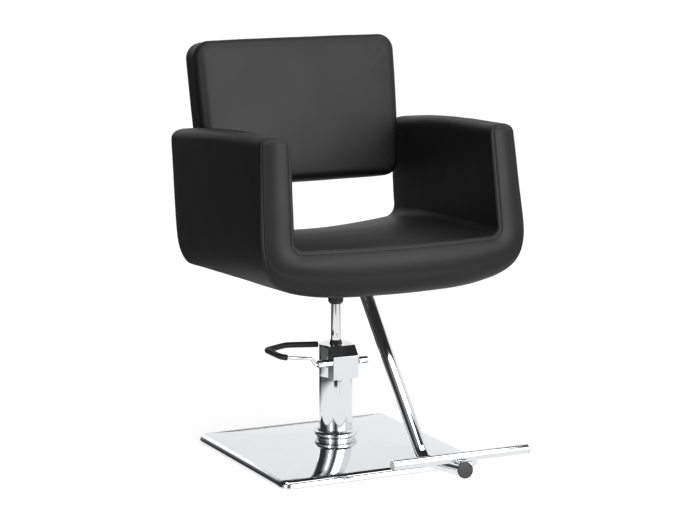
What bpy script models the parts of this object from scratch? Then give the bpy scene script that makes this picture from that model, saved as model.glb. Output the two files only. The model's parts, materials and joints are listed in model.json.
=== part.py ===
"""Hairdressing chair on a hydraulic pump, modelled piece by piece in metres with +Z up.

The sitter faces -Y. The origin is on the floor under the column, at the middle of the square base.
Heights are stacked from the floor: plate, pump cylinder, pump head, rod, socket, seat, arms, back pad.
"""

import math

import bmesh
import bpy
from mathutils import Matrix, Vector

# Fits
GAP = 0.0003  # between pieces that touch
HOLE_CLEARANCE = 0.0004  # round a bolt's shank

# Square base
BASE_SIDE = 0.532  # at the floor
BASE_CORNER = 0.030
RIM_HEIGHT = 0.020
RIM_SLOPE = 0.011  # each side's rim leans in this far
RIM_ROUND = 0.005
DOME_RISE = 0.019
COVER_SHEET = 0.002
SKIRT_LIFT = 0.001  # skirt's lower edge above the floor
FLOOR_PLATE = 0.006

# Column
SLEEVE_DIAMETER = 0.082
SLEEVE_WALL = 0.0015
SLEEVE_TOP = 0.198
RING_BULGE = 0.0125  # how far the foot ring stands out from the sleeve
RING_HEIGHT = 0.026
RING_ROUND = 0.0087  # radius of the foot ring's bulge
CYLINDER_BORE = 0.036
CYLINDER_WALL = 0.005
CYLINDER_FLANGE = 0.008
FLANGE_EDGE = 0.022  # flange beyond the sleeve
SPIGOT_DEPTH = 0.020  # pump head's spigot inside the sleeve
ROD_DIAMETER = 0.024
BUSH_WALL = 0.003
BUSH_LEDGE = 0.002
SEAL_DEPTH = 0.006
SEAL_STAND = 0.009  # seal above the pump head
HEAD_WALL = 0.0112  # metal between the bush and the head's front flat
HEAD_BEVEL = 0.002
DOWN_STROKE = 0.075
STROKE_MARGIN = 0.009
PISTON_HEIGHT = 0.014
PISTON_GROOVE = 0.003
PISTON_SEAL = 0.005

# Pump mechanism under the box cover
LEDGE_HEIGHT = 0.010
BARREL_DIAMETER = 0.012
BARREL_HEIGHT = 0.0137
BARREL_BACK = 0.0018  # room behind the barrel
PLUNGER_DIAMETER = 0.006
PLUNGER_DEPTH = 0.009  # plunger inside the barrel
PLUNGER_HEAD = 0.0026
PLUNGER_HEAD_DIAMETER = 0.010
SPRING_LENGTH = 0.0102
SPRING_WIRE = 0.0012
SPRING_TURNS = 4
ROCKER_REACH = 0.012
ROCKER_TIP = 0.004  # radius of the rocker's nose
ROCKER_HUB = 0.0075
ROCKER_WIDTH = 0.010
SHAFT_DIAMETER = 0.010
BLOCK_WIDTH = 0.008
BLOCK_HALF = 0.010
BLOCK_NOSE = 0.0097
BLOCK_SPREAD = 0.022  # block's middle from the chair's middle plane
BOX_SHEET = 0.002
BOX_FACE_MARGIN = 0.0045
BOX_SLOPE_RISE = 0.0235
BOX_SLOPE_RUN = 0.020

# Pump lever
HUB_DIAMETER = 0.020
HUB_LENGTH = 0.037
NUT_DIAMETER = 0.018
NUT_LENGTH = 0.025
NUT_NECK = 0.0045
LEVER_ROD = 0.008
LEVER_REACH = 0.096  # beyond the hub's end
LEVER_STEP = 0.016  # rod's rise beside the hub
LEVER_RISE = 0.027  # rod's rise at its outer end
LEVER_SPAN = 0.091  # from the front rod back to the pedal bar's corner
PEDAL_BOW = 0.034  # pedal bar's middle behind its corner
PEDAL_MIDDLE = 0.068  # from the outer end inwards
PEDAL_LENGTH = 0.140
PEDAL_HOOK = 0.008  # pedal bar's free end behind its corner
LEVER_BEND = 0.017
STEP_BEND = 0.006  # where the rod steps up beside the hub
GRIP_START = 0.0153  # from the rod's outer end inwards, on its front
GRIP_DIAMETER = 0.0145
GRIP_END = 0.004

# Seat mount
ROD_SHOWING = 0.100
SOCKET_HEIGHT = 0.072
SOCKET_DIAMETER = 0.038
SOCKET_FLARE = 0.060
SOCKET_STRAIGHT = 0.0446  # socket's height below its flare
TAPER_SHRINK = 0.0025  # radius lost along the rod's taper
TAPER_START = 0.006
WASHER_THICKNESS = 0.004
MOUNT_PLATE = 0.006
MOUNT_WIDTH = 0.200
MOUNT_FRONT = 0.208
MOUNT_REAR = 0.075
MOUNT_INSET = 0.020
PLATE_CORNER = 0.012
BOLT_SHANK = 0.008
BOLT_HEAD = 0.013
BOLT_HEAD_HEIGHT = 0.005
BOLT_GRIP = 0.010  # shank in the wood
BOARD_THICKNESS = 0.012
BOARD_WIDTH = 0.270
BOARD_EDGE = 0.015  # board's ends inside the flat of the underside

# Footrest
POST_DIAMETER = 0.032
TUBE_WALL = 0.002
POST_TOP_REACH = 0.152
POST_BEND_REACH = 0.467
POST_BEND_DROP = 0.364  # below the seat's underside
POST_BEND_RADIUS = 0.060
FOOT_REACH = 0.660
FOOT_DROP = 0.342
FOOT_FLANGE = 0.006
FOOT_FLANGE_WIDTH = 0.090
FOOT_FLANGE_DEPTH = 0.090
FLANGE_BOLT_INSET = 0.012
BAR_DIAMETER = 0.022
BAR_LENGTH = 0.340
BAR_SETBACK = 0.015  # bar's axis behind the post's end
CAP_DIAMETER = 0.038
CAP_THICKNESS = 0.005
CAP_ROUND = 0.0015
SPIGOT_LENGTH = 0.012
PLUG_HEAD = 0.003

# Padded U: seat and arms in one
SEAT_THICKNESS = 0.124
SEAT_WIDTH = 0.527  # between the arms, at the front
ARM_SPLAY = 0.013  # each arm's inner face moves out this far at its rear top
ARM_LEAN = 0.0075  # each arm leans in this far at its front top
SHELL_WIDTH = 0.690
SHELL_SIDE = 0.150  # the side stands upright from this height above the seat's underside
SHELL_POWER = 3.6  # superellipse exponent of the underside
UNDER_FALL = 0.042  # lower side edges sink this far from front to rear
ARM_TOP_WIDTH = 0.075
ARM_HEIGHT = 0.382  # front of the arm above the seat's underside
ARM_DROP = 0.044  # arm's rear end lower than its front
ARM_TOP_CROWN = 0.006
ARM_ROUND = 0.024
CORNER_IN = 0.018
CORNER_IN_REAR = 0.028
FRONT_REACH = 0.365
FRONT_RAKE = 0.145  # run over rise
FRONT_BOW = 1.65  # plan radius of the front
FRONT_CROWN = 0.006
FRONT_EDGE = 0.010
UNDER_ROUND = 0.055  # front lower edge, under the seat
SEAT_REAR = 0.214
REAR_LEAN = 0.190
REAR_OUT_EDGE = 0.034
REAR_IN_EDGE = 0.012
REAR_CROWN = 0.004
SEAT_CROWN = 0.012
SEAT_FALL = 0.046  # middle of the seat, from front to rear
SEAT_DISH = 0.018  # the seat's rear edge rises this far from its middle to the arms
ARM_CROWN = 0.004

# Back pad
PAD_BOTTOM = 0.203  # above the seat's underside
PAD_HEIGHT = 0.365
PAD_THICKNESS = 0.086
PAD_SETBACK = 0.060  # pad's lower front edge in front of the seat's rear
PAD_RECLINE = math.radians(10.0)
PAD_FLARE = 0.0115  # pad's upper half width beyond the arm's inner face at the front
PAD_SQUEEZE = 0.0135  # each side drawn in at the bottom, between the arms
PAD_TOP_CORNER = 0.044
PAD_LOW_CORNER = 0.040
PAD_FRONT_EDGE = 0.022
PAD_REAR_EDGE = 0.012
PAD_CROWN = 0.010
PAD_CROWN_RUN = 0.088  # from the front edge in to the crown's top
PAD_REAR_FLAT = 0.060  # rear face is flat from this far in
PAD_WAIST = 0.002
STUD_DIAMETER = 0.010
STUD_DEPTH = 0.030
STUD_LOW = 0.045
STUD_PITCH = 0.060

# Facets
ROUND_STEPS = 32
SMALL_STEPS = 12
TUBE_SIDES = 18
ROD_SIDES = 10
SMOOTH_ANGLE = math.radians(35.0)
RING_TURN = 80.0  # degrees of the foot ring's bulge above and below its middle
SEAT_SHARES = (0.0, 0.4, 0.75)  # stations along the seat, from its middle to the corner
UNDER_SHARES = (0.0, 0.25, 0.50, 0.68, 0.80, 0.88, 0.935, 0.972, 0.993, 1.0)  # stations of the underside
ARM_SHARES = (0.35, 0.7, 1.0)  # stations up the arm
CORNER_STEPS = 6
SIDE_SHARES = (0.25, 0.5, 0.75)  # points along the outer side
SEAT_RUN_SHARES = (0.8, 0.6, 0.4, 0.2)  # points along the inner face
TOP_TURNS = (30.0, 60.0, 90.0)  # degrees of the rounded arm top
CROWN_SHARES = (0.4, 1.0)  # points of the pad's front crown
MERGE = 1e-6

# Worked-out radii and heights of the column
sleeve_radius = SLEEVE_DIAMETER / 2
rod_radius = ROD_DIAMETER / 2
bore_radius = CYLINDER_BORE / 2
cylinder_radius = bore_radius + CYLINDER_WALL
flange_radius = sleeve_radius + FLANGE_EDGE
bush_radius = rod_radius + GAP + BUSH_WALL
flange_low = FLOOR_PLATE + GAP
flange_top = flange_low + CYLINDER_FLANGE
dome_top = RIM_HEIGHT + DOME_RISE
head_low = SLEEVE_TOP + GAP
ledge_top = head_low + LEDGE_HEIGHT
barrel_low = ledge_top + GAP
barrel_top = barrel_low + BARREL_HEIGHT
spring_low = barrel_top + GAP
plunger_head_low = spring_low + SPRING_LENGTH + GAP
plunger_top = plunger_head_low + PLUNGER_HEAD
shaft_height = plunger_top + GAP + ROCKER_TIP
box_face_top = shaft_height + BLOCK_HALF + BOX_FACE_MARGIN
head_top = box_face_top + BOX_SLOPE_RISE

# Worked-out places across the pump head, measured towards the front
head_flat = rod_radius + BUSH_WALL + HEAD_WALL
barrel_reach = head_flat + BARREL_BACK + BARREL_DIAMETER / 2
shaft_reach = barrel_reach + ROCKER_REACH
box_front = shaft_reach + BLOCK_NOSE + GAP + BOX_SHEET
flat_half = math.sqrt(sleeve_radius**2 - head_flat**2)
box_half = flat_half + GAP + BOX_SHEET
hub_end = box_half + GAP + HUB_LENGTH

# Worked-out heights of the rod and seat
piston_low = flange_top + DOWN_STROKE + STROKE_MARGIN
piston_top = piston_low + PISTON_HEIGHT
socket_low = head_top + ROD_SHOWING
socket_top = socket_low + SOCKET_HEIGHT
rod_top = socket_top - WASHER_THICKNESS - GAP
plate_low = socket_top + GAP
seat_low = plate_low + MOUNT_PLATE + GAP
seat_top = seat_low + SEAT_THICKNESS
foot_flange_low = plate_low - GAP - FOOT_FLANGE
arm_top = seat_low + ARM_HEIGHT

# Worked-out half widths and depths of the padded U
seat_half = SEAT_WIDTH / 2
shell_half = SHELL_WIDTH / 2
arm_out_top = seat_half + ARM_TOP_WIDTH
board_front = FRONT_REACH + FRONT_RAKE * SEAT_THICKNESS - UNDER_ROUND - BOARD_EDGE
board_rear = SEAT_REAR - REAR_LEAN * SEAT_THICKNESS - REAR_OUT_EDGE - BOARD_EDGE

# Worked-out place of the back pad
pad_low = seat_low + PAD_BOTTOM
pad_front = SEAT_REAR - PAD_SETBACK
pad_half = seat_half + PAD_FLARE


def clear_scene():
    for obj in list(bpy.data.objects):
        bpy.data.objects.remove(obj, do_unlink=True)


def make_material(name, colour, roughness, metallic=0.0):
    material = bpy.data.materials.new(name)
    material.use_nodes = True
    shader = material.node_tree.nodes["Principled BSDF"]
    shader.inputs["Base Color"].default_value = (*colour, 1.0)
    shader.inputs["Roughness"].default_value = roughness
    shader.inputs["Metallic"].default_value = metallic
    return material


def make_materials():
    return {
        "chrome": make_material("chrome_plate", (0.80, 0.80, 0.81), 0.06, 1.0),
        "steel": make_material("bare_steel", (0.42, 0.42, 0.43), 0.40, 1.0),
        "bronze": make_material("bearing_bronze", (0.55, 0.36, 0.16), 0.35, 1.0),
        "black": make_material("black_enamel", (0.012, 0.012, 0.013), 0.35),
        "rubber": make_material("black_rubber", (0.010, 0.010, 0.010), 0.60),
        "vinyl": make_material("black_vinyl", (0.020, 0.020, 0.021), 0.42),
        "wood": make_material("plywood", (0.45, 0.30, 0.17), 0.60),
        "dark_plastic": make_material("dark_grey_plastic", (0.055, 0.055, 0.057), 0.50),
        "pale_plastic": make_material("pale_grey_plastic", (0.55, 0.55, 0.55), 0.45),
    }


def make_axis(name, place):
    """An empty on a joint's axis, which carries the pieces that move together."""
    axis = bpy.data.objects.new(name, None)
    axis.location = place
    bpy.context.scene.collection.objects.link(axis)
    return axis


def face_outwards(shape):
    """Turns every face of a closed shape outwards, also after a mirroring transform."""
    shape.normal_update()
    bmesh.ops.recalc_face_normals(shape, faces=shape.faces)


def add_piece(name, shape, material, rides=None):
    """Makes a named object from a bmesh, shaded smooth, and hangs it on a joint's axis where it has one."""
    face_outwards(shape)
    mesh = bpy.data.meshes.new(name)
    shape.to_mesh(mesh)
    shape.free()
    mesh.materials.append(material)
    mesh.shade_smooth()
    mesh.set_sharp_from_angle(angle=SMOOTH_ANGLE)
    obj = bpy.data.objects.new(name, mesh)
    bpy.context.scene.collection.objects.link(obj)
    if rides is not None:
        obj.parent = rides
        obj.matrix_parent_inverse = Matrix.Translation(rides.location).inverted()
    return obj


def cut(obj, name, shapes):
    """Takes one or more closed shapes out of an object."""
    joined = bmesh.new()
    for shape in shapes:
        face_outwards(shape)
        mesh = bpy.data.meshes.new(name)
        shape.to_mesh(mesh)
        shape.free()
        joined.from_mesh(mesh)
        bpy.data.meshes.remove(mesh)
    cutter_mesh = bpy.data.meshes.new(name)
    joined.to_mesh(cutter_mesh)
    joined.free()
    cutter = bpy.data.objects.new(name, cutter_mesh)
    cutter.hide_render = True
    cutter.display_type = "WIRE"
    bpy.context.scene.collection.objects.link(cutter)
    modifier = obj.modifiers.new(name, "BOOLEAN")
    modifier.operation = "DIFFERENCE"
    modifier.solver = "EXACT"
    modifier.object = cutter


def arc(centre, radius, start, end, steps):
    """Points on a circle from one angle to another, both ends included, angles in degrees."""
    points = []
    for step in range(steps + 1):
        angle = math.radians(start + (end - start) * step / steps)
        points.append((centre[0] + radius * math.cos(angle), centre[1] + radius * math.sin(angle)))
    return points


def rounded_rectangle(half_width, low, high, low_radius, high_radius, steps):
    """Outline of an upright rectangle with its own corner radius below and above."""
    left = -half_width
    outline = arc((half_width - high_radius, high - high_radius), high_radius, 0, 90, steps)
    outline += arc((left + high_radius, high - high_radius), high_radius, 90, 180, steps)
    outline += arc((left + low_radius, low + low_radius), low_radius, 180, 270, steps)
    outline += arc((half_width - low_radius, low + low_radius), low_radius, 270, 360, steps)
    return outline


def loft(rings, ring_of_rings=False):
    """Skins equal rings of points. The ends are filled, unless the last ring joins the first."""
    shape = bmesh.new()
    grid = [[shape.verts.new(point) for point in ring] for ring in rings]
    follow = grid[1:] + grid[:1] if ring_of_rings else grid[1:]
    for lower, upper in zip(grid, follow):
        for index in range(len(lower)):
            after = (index + 1) % len(lower)
            shape.faces.new((lower[index], lower[after], upper[after], upper[index]))
    if not ring_of_rings:
        shape.faces.new(grid[0])
        shape.faces.new(grid[-1])
    return shape


def turned(profile, steps=ROUND_STEPS, place=Matrix()):
    """Turns (radius, height) points about the axis. A profile clear of the axis is closed on itself."""
    shape = bmesh.new()
    points = [shape.verts.new((radius, 0.0, height)) for radius, height in profile]
    pairs = list(zip(points, points[1:]))
    if min(radius for radius, _ in profile) > 0.0:
        pairs.append((points[-1], points[0]))
    edges = [shape.edges.new(pair) for pair in pairs]
    bmesh.ops.spin(
        shape,
        geom=points + edges,
        axis=(0, 0, 1),
        cent=(0, 0, 0),
        angle=math.tau,
        steps=steps,
        use_merge=True,
    )
    bmesh.ops.remove_doubles(shape, verts=shape.verts, dist=MERGE)
    shape.transform(place)
    return shape


def prism(outline, low, high, place=Matrix()):
    """Extrudes a flat outline from one height to another."""
    shape = loft([[(x, y, height) for x, y in outline] for height in (low, high)])
    shape.transform(place)
    return shape


def box(low, high):
    """Block between two opposite corners."""
    outline = [(low[0], low[1]), (high[0], low[1]), (high[0], high[1]), (low[0], high[1])]
    return prism(outline, low[2], high[2])


def along_x(place):
    """Puts a shape turned about Z on an axis that runs along +X through a point."""
    return Matrix.Translation(place) @ Matrix.Rotation(math.pi / 2, 4, "Y")


def rounded_path(corners, radii, steps=6):
    """Polyline whose inner corners are replaced by arcs that touch both sides."""
    path = [Vector(corners[0])]
    for index in range(1, len(corners) - 1):
        corner = Vector(corners[index])
        back = (Vector(corners[index - 1]) - corner).normalized()
        ahead = (Vector(corners[index + 1]) - corner).normalized()
        half = back.angle(ahead) / 2
        radius = radii[index - 1]
        tangent = radius / math.tan(half)
        middle = corner + (back + ahead).normalized() * radius / math.sin(half)
        start = corner + back * tangent - middle
        end = corner + ahead * tangent - middle
        for step in range(steps + 1):
            path.append(middle + start.slerp(end, step / steps).normalized() * radius)
    path.append(Vector(corners[-1]))
    return path


def tube_rings(path, radius, sides):
    """Rings of points square to a path, carried along it without twist."""
    rings = []
    normal = None
    for index, point in enumerate(path):
        before = path[max(index - 1, 0)]
        after = path[min(index + 1, len(path) - 1)]
        tangent = (after - before).normalized()
        if normal is None:
            normal = tangent.orthogonal().normalized()
        normal = (normal - tangent * normal.dot(tangent)).normalized()
        side = tangent.cross(normal)
        turns = [math.tau * step / sides for step in range(sides)]
        rings.append([point + (normal * math.cos(turn) + side * math.sin(turn)) * radius for turn in turns])
    return rings


def flattened(ring, direction, height):
    """Slides a ring along a direction until it lies at one height, as a mitred tube end does."""
    return [point + direction * ((height - point.z) / direction.z) for point in ring]


def bolt_shape(x, y, seat, length):
    """Round-headed bolt whose head hangs under a face at height seat, with its shank above."""
    shank = BOLT_SHANK / 2
    profile = [
        (0.0, seat + length),
        (shank, seat + length),
        (shank, seat - GAP),
        (BOLT_HEAD / 2, seat - GAP),
        (BOLT_HEAD / 2, seat - GAP - BOLT_HEAD_HEIGHT),
        (0.0, seat - GAP - BOLT_HEAD_HEIGHT),
    ]
    return turned(profile, SMALL_STEPS, Matrix.Translation((x, y, 0.0)))


def bolt_hole(x, y, low, high):
    """Cutter for a bolt's shank."""
    radius = BOLT_SHANK / 2 + HOLE_CLEARANCE
    profile = [(0.0, high), (radius, high), (radius, low), (0.0, low)]
    return turned(profile, SMALL_STEPS, Matrix.Translation((x, y, 0.0)))


def square_ring(half, corner, height):
    """Ring round a square with round corners, with points along the sides for the dome to bend at."""
    side_steps = 9
    corner_steps = 5
    ring = []
    for quarter in range(4):
        turn = Matrix.Rotation(quarter * math.pi / 2, 3, "Z")
        inner = half - corner
        side = [(half, -inner + 2 * inner * step / side_steps) for step in range(side_steps)]
        bend = arc((inner, inner), corner, 0, 90, corner_steps)[:-1]
        ring += [turn @ Vector((x, y, height)) for x, y in side + bend]
    return ring


def dome_rings(sheet):
    """Rings of the pressed base cover, from its middle hole to its skirt, this far inside its outer face."""
    hole = sleeve_radius + 2 * GAP
    half = BASE_SIDE / 2 - RIM_SLOPE - RIM_ROUND
    corner = BASE_CORNER - RIM_SLOPE - RIM_ROUND
    edge = square_ring(half, corner, 0.0)
    shares = (0.0, 0.5, 1.0) if sheet else (0.0, 0.15, 0.35, 0.57, 0.79, 1.0)
    rings = []
    for share in shares:
        height = RIM_HEIGHT + DOME_RISE * (1.0 - share**2) - sheet
        ring = []
        for point in edge:
            start = point.normalized() * hole
            ring.append(Vector((*start.lerp(point, share).xy, height)))
        rings.append(ring)
    for angle in (45.0, 90.0):
        reach = (RIM_ROUND - sheet) * math.sin(math.radians(angle))
        fall = (RIM_ROUND - sheet) * (1.0 - math.cos(math.radians(angle)))
        rings.append(square_ring(half + reach, corner + reach, RIM_HEIGHT - sheet - fall))
    rings.append(square_ring(BASE_SIDE / 2 - sheet, BASE_CORNER - sheet, SKIRT_LIFT))
    return rings


def base_bolt_places():
    reach = (sleeve_radius + GAP + flange_radius) / 2
    turns = [math.radians(angle) for angle in (45, 135, 225, 315)]
    return [(reach * math.cos(turn), reach * math.sin(turn)) for turn in turns]


def make_base(finish):
    """Floor plate, pressed cover, pump bolts and the ring at the foot of the column."""
    inset = COVER_SHEET + RIM_SLOPE * FLOOR_PLATE / (RIM_HEIGHT - RIM_ROUND) + 2 * GAP
    plate_half = BASE_SIDE / 2 - inset
    plate_corner = BASE_CORNER - inset
    outline = rounded_rectangle(plate_half, -plate_half, plate_half, plate_corner, plate_corner, 5)
    plate = add_piece("floor_plate", prism(outline, 0.0, FLOOR_PLATE), finish["steel"])
    bite = FLOOR_PLATE / 4
    holes = [bolt_hole(x, y, bite, FLOOR_PLATE + GAP) for x, y in base_bolt_places()]
    cut(plate, "floor_plate_holes", holes)
    add_piece("base_cover", loft(dome_rings(0.0) + dome_rings(COVER_SHEET)[::-1], True), finish["chrome"])
    inner = sleeve_radius + GAP
    ring_low = dome_top + GAP
    middle = (inner + RING_BULGE - RING_ROUND, ring_low + RING_HEIGHT / 2)
    bulge = arc(middle, RING_ROUND, -RING_TURN, RING_TURN, 6)
    half_out = inner + RING_BULGE / 2
    ring_top = ring_low + RING_HEIGHT
    profile = [(inner, ring_low), (half_out, ring_low)] + bulge
    profile += [(half_out, ring_top - RIM_ROUND), (inner, ring_top)]
    add_piece("column_ring", turned(profile), finish["chrome"])


def make_column(finish):
    """Sleeve, pump cylinder with its bolts, pump head, guide bush and rod seal."""
    sleeve_low = flange_top + GAP
    sleeve_inside = sleeve_radius - SLEEVE_WALL
    sleeve = [
        (sleeve_inside, sleeve_low),
        (sleeve_radius, sleeve_low),
        (sleeve_radius, SLEEVE_TOP),
        (sleeve_inside, SLEEVE_TOP),
    ]
    add_piece("pump_sleeve", turned(sleeve), finish["chrome"])
    cylinder = [
        (0.0, flange_low),
        (flange_radius, flange_low),
        (flange_radius, flange_top),
        (cylinder_radius, flange_top),
        (cylinder_radius, SLEEVE_TOP),
        (bore_radius, SLEEVE_TOP),
        (bore_radius, flange_top),
        (0.0, flange_top),
    ]
    body = add_piece("pump_cylinder", turned(cylinder), finish["steel"])
    cut(body, "pump_cylinder_holes", [bolt_hole(x, y, 0.0, dome_top) for x, y in base_bolt_places()])
    reach = flange_top - FLOOR_PLATE / 2
    for number, (x, y) in enumerate(base_bolt_places(), 1):
        bolt = bolt_shape(x, y, -flange_top, reach)
        bolt.transform(Matrix.Scale(-1.0, 4, (0, 0, 1)))
        add_piece(f"base_bolt_{number}", bolt, finish["steel"])
    make_head(finish)
    inner = rod_radius + GAP
    bush_low = head_low + BUSH_LEDGE
    bush_top = head_top - SEAL_DEPTH
    bush = [(inner, bush_low), (bush_radius, bush_low), (bush_radius, bush_top), (inner, bush_top)]
    add_piece("guide_bush", turned(bush), finish["bronze"])
    seal_low = bush_top + GAP
    seal_top = head_top + SEAL_STAND
    seal = [
        (inner, seal_low),
        (bush_radius, seal_low),
        (bush_radius, head_top + SEAL_STAND / 3),
        (inner + BUSH_WALL / 3, seal_top),
        (inner, seal_top),
    ]
    add_piece("rod_seal", turned(seal), finish["rubber"])


def make_head(finish):
    """Pump head: a round block bored for the rod, socketed for the cylinder and flat where the box sits."""
    bore = bush_radius + GAP
    lip = rod_radius + GAP
    socket = cylinder_radius + GAP
    spigot = sleeve_radius - SLEEVE_WALL - GAP
    spigot_low = head_low - SPIGOT_DEPTH
    profile = [
        (lip, head_low),
        (socket, head_low),
        (socket, spigot_low),
        (spigot, spigot_low),
        (spigot, head_low),
        (sleeve_radius, head_low),
        (sleeve_radius, head_top - HEAD_BEVEL),
        (sleeve_radius - HEAD_BEVEL, head_top),
        (bore, head_top),
        (bore, head_low + BUSH_LEDGE - GAP),
        (lip, head_low + BUSH_LEDGE - GAP),
    ]
    head = add_piece("pump_head", turned(profile), finish["chrome"])
    beyond = 2 * sleeve_radius
    flat = box((-beyond, -beyond, ledge_top), (beyond, -head_flat, head_top + beyond))
    cut(head, "pump_head_flat", [flat])


def make_pump_box(finish):
    """Folded box cover on the front of the head, and the two blocks in it that carry the lever's shaft."""
    side = [
        (-head_flat - GAP, head_low),
        (-box_front, head_low),
        (-box_front, box_face_top),
        (-box_front + BOX_SLOPE_RUN, head_top),
        (-head_flat - GAP, head_top),
    ]
    across = Matrix(((0, 0, 1, 0), (1, 0, 0, 0), (0, 1, 0, 0), (0, 0, 0, 1)))
    cover = add_piece("pump_cover", prism(side, -box_half, box_half, across), finish["chrome"])
    slope = math.atan2(BOX_SLOPE_RISE, BOX_SLOPE_RUN)
    corner_drop = BOX_SHEET * math.tan(slope / 2)
    front_drop = BOX_SHEET * math.tan((math.pi / 2 - slope) / 2)
    room = [
        (0.0, head_low - BOX_SHEET),
        (-box_front + BOX_SHEET, head_low - BOX_SHEET),
        (-box_front + BOX_SHEET, box_face_top - front_drop),
        (-box_front + BOX_SLOPE_RUN + corner_drop, head_top - BOX_SHEET),
        (0.0, head_top - BOX_SHEET),
    ]
    hole = SHAFT_DIAMETER / 2 + GAP
    through = [(0.0, -2 * box_half), (hole, -2 * box_half), (hole, 2 * box_half), (0.0, 2 * box_half)]
    place = along_x((0.0, -shaft_reach, shaft_height))
    inside = prism(room, -box_half + BOX_SHEET, box_half - BOX_SHEET, across)
    cut(cover, "pump_cover_inside", [inside])
    cut(cover, "pump_cover_holes", [turned(through, SMALL_STEPS, place)])
    for name, middle in (("shaft_block_left", -BLOCK_SPREAD), ("shaft_block_right", BLOCK_SPREAD)):
        low = (middle - BLOCK_WIDTH / 2, -shaft_reach - BLOCK_NOSE, shaft_height - BLOCK_HALF)
        high = (middle + BLOCK_WIDTH / 2, -head_flat - GAP, shaft_height + BLOCK_HALF)
        block = add_piece(name, box(low, high), finish["steel"])
        cut(block, name + "_bore", [turned(through, SMALL_STEPS, place)])


def make_plunger(finish, axis):
    """Barrel on the head's ledge, with the plunger and the return spring round it."""
    radius = PLUNGER_DIAMETER / 2
    bore = radius + GAP
    place = Matrix.Translation((0.0, -barrel_reach, 0.0))
    outer = BARREL_DIAMETER / 2
    barrel = [(bore, barrel_low), (outer, barrel_low), (outer, barrel_top), (bore, barrel_top)]
    add_piece("plunger_barrel", turned(barrel, SMALL_STEPS, place), finish["steel"])
    head = PLUNGER_HEAD_DIAMETER / 2
    plunger = [
        (0.0, plunger_top),
        (radius / 2, plunger_top),
        (head, plunger_head_low + PLUNGER_HEAD / 2),
        (head, plunger_head_low),
        (radius, plunger_head_low),
        (radius, barrel_top - PLUNGER_DEPTH),
        (0.0, barrel_top - PLUNGER_DEPTH),
    ]
    add_piece("pump_plunger", turned(plunger, SMALL_STEPS, place), finish["steel"], axis)
    coil = head - SPRING_WIRE / 2
    steps = 12 * SPRING_TURNS
    rise = SPRING_LENGTH - SPRING_WIRE
    path = []
    for step in range(steps + 1):
        turn = math.tau * SPRING_TURNS * step / steps
        height = spring_low + SPRING_WIRE / 2 + rise * step / steps
        path.append(Vector((coil * math.cos(turn), coil * math.sin(turn) - barrel_reach, height)))
    add_piece("plunger_spring", loft(tube_rings(path, SPRING_WIRE / 2, 6)), finish["steel"])


def rocker_outline():
    """Hub round the shaft with a level arm that ends in a round nose, seen along the shaft."""
    meet = math.degrees(math.asin(ROCKER_TIP / ROCKER_HUB))
    outline = arc((0.0, 0.0), ROCKER_HUB, meet, 360.0 - meet, 14)
    return outline + arc((ROCKER_REACH, 0.0), ROCKER_TIP, -90, 90, 6)


def lever_path():
    """Centre line of the lever's rod: out of the hub, up, outwards, round the end and along the pedal bar."""
    outer = -hub_end - LEVER_REACH
    rear = -shaft_reach + LEVER_SPAN
    top = shaft_height + LEVER_RISE
    corners = [
        (-hub_end + HUB_LENGTH / 3, -shaft_reach, shaft_height),
        (-hub_end - LEVER_ROD, -shaft_reach, shaft_height),
        (-hub_end - 2 * LEVER_ROD, -shaft_reach, shaft_height + LEVER_STEP),
        (outer, -shaft_reach, top),
        (outer, rear, top),
        (outer + PEDAL_MIDDLE, rear + PEDAL_BOW, top),
        (outer + PEDAL_LENGTH, rear + PEDAL_HOOK, top),
    ]
    return rounded_path(corners, [STEP_BEND, STEP_BEND, LEVER_BEND, LEVER_BEND, 2 * LEVER_BEND])


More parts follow.
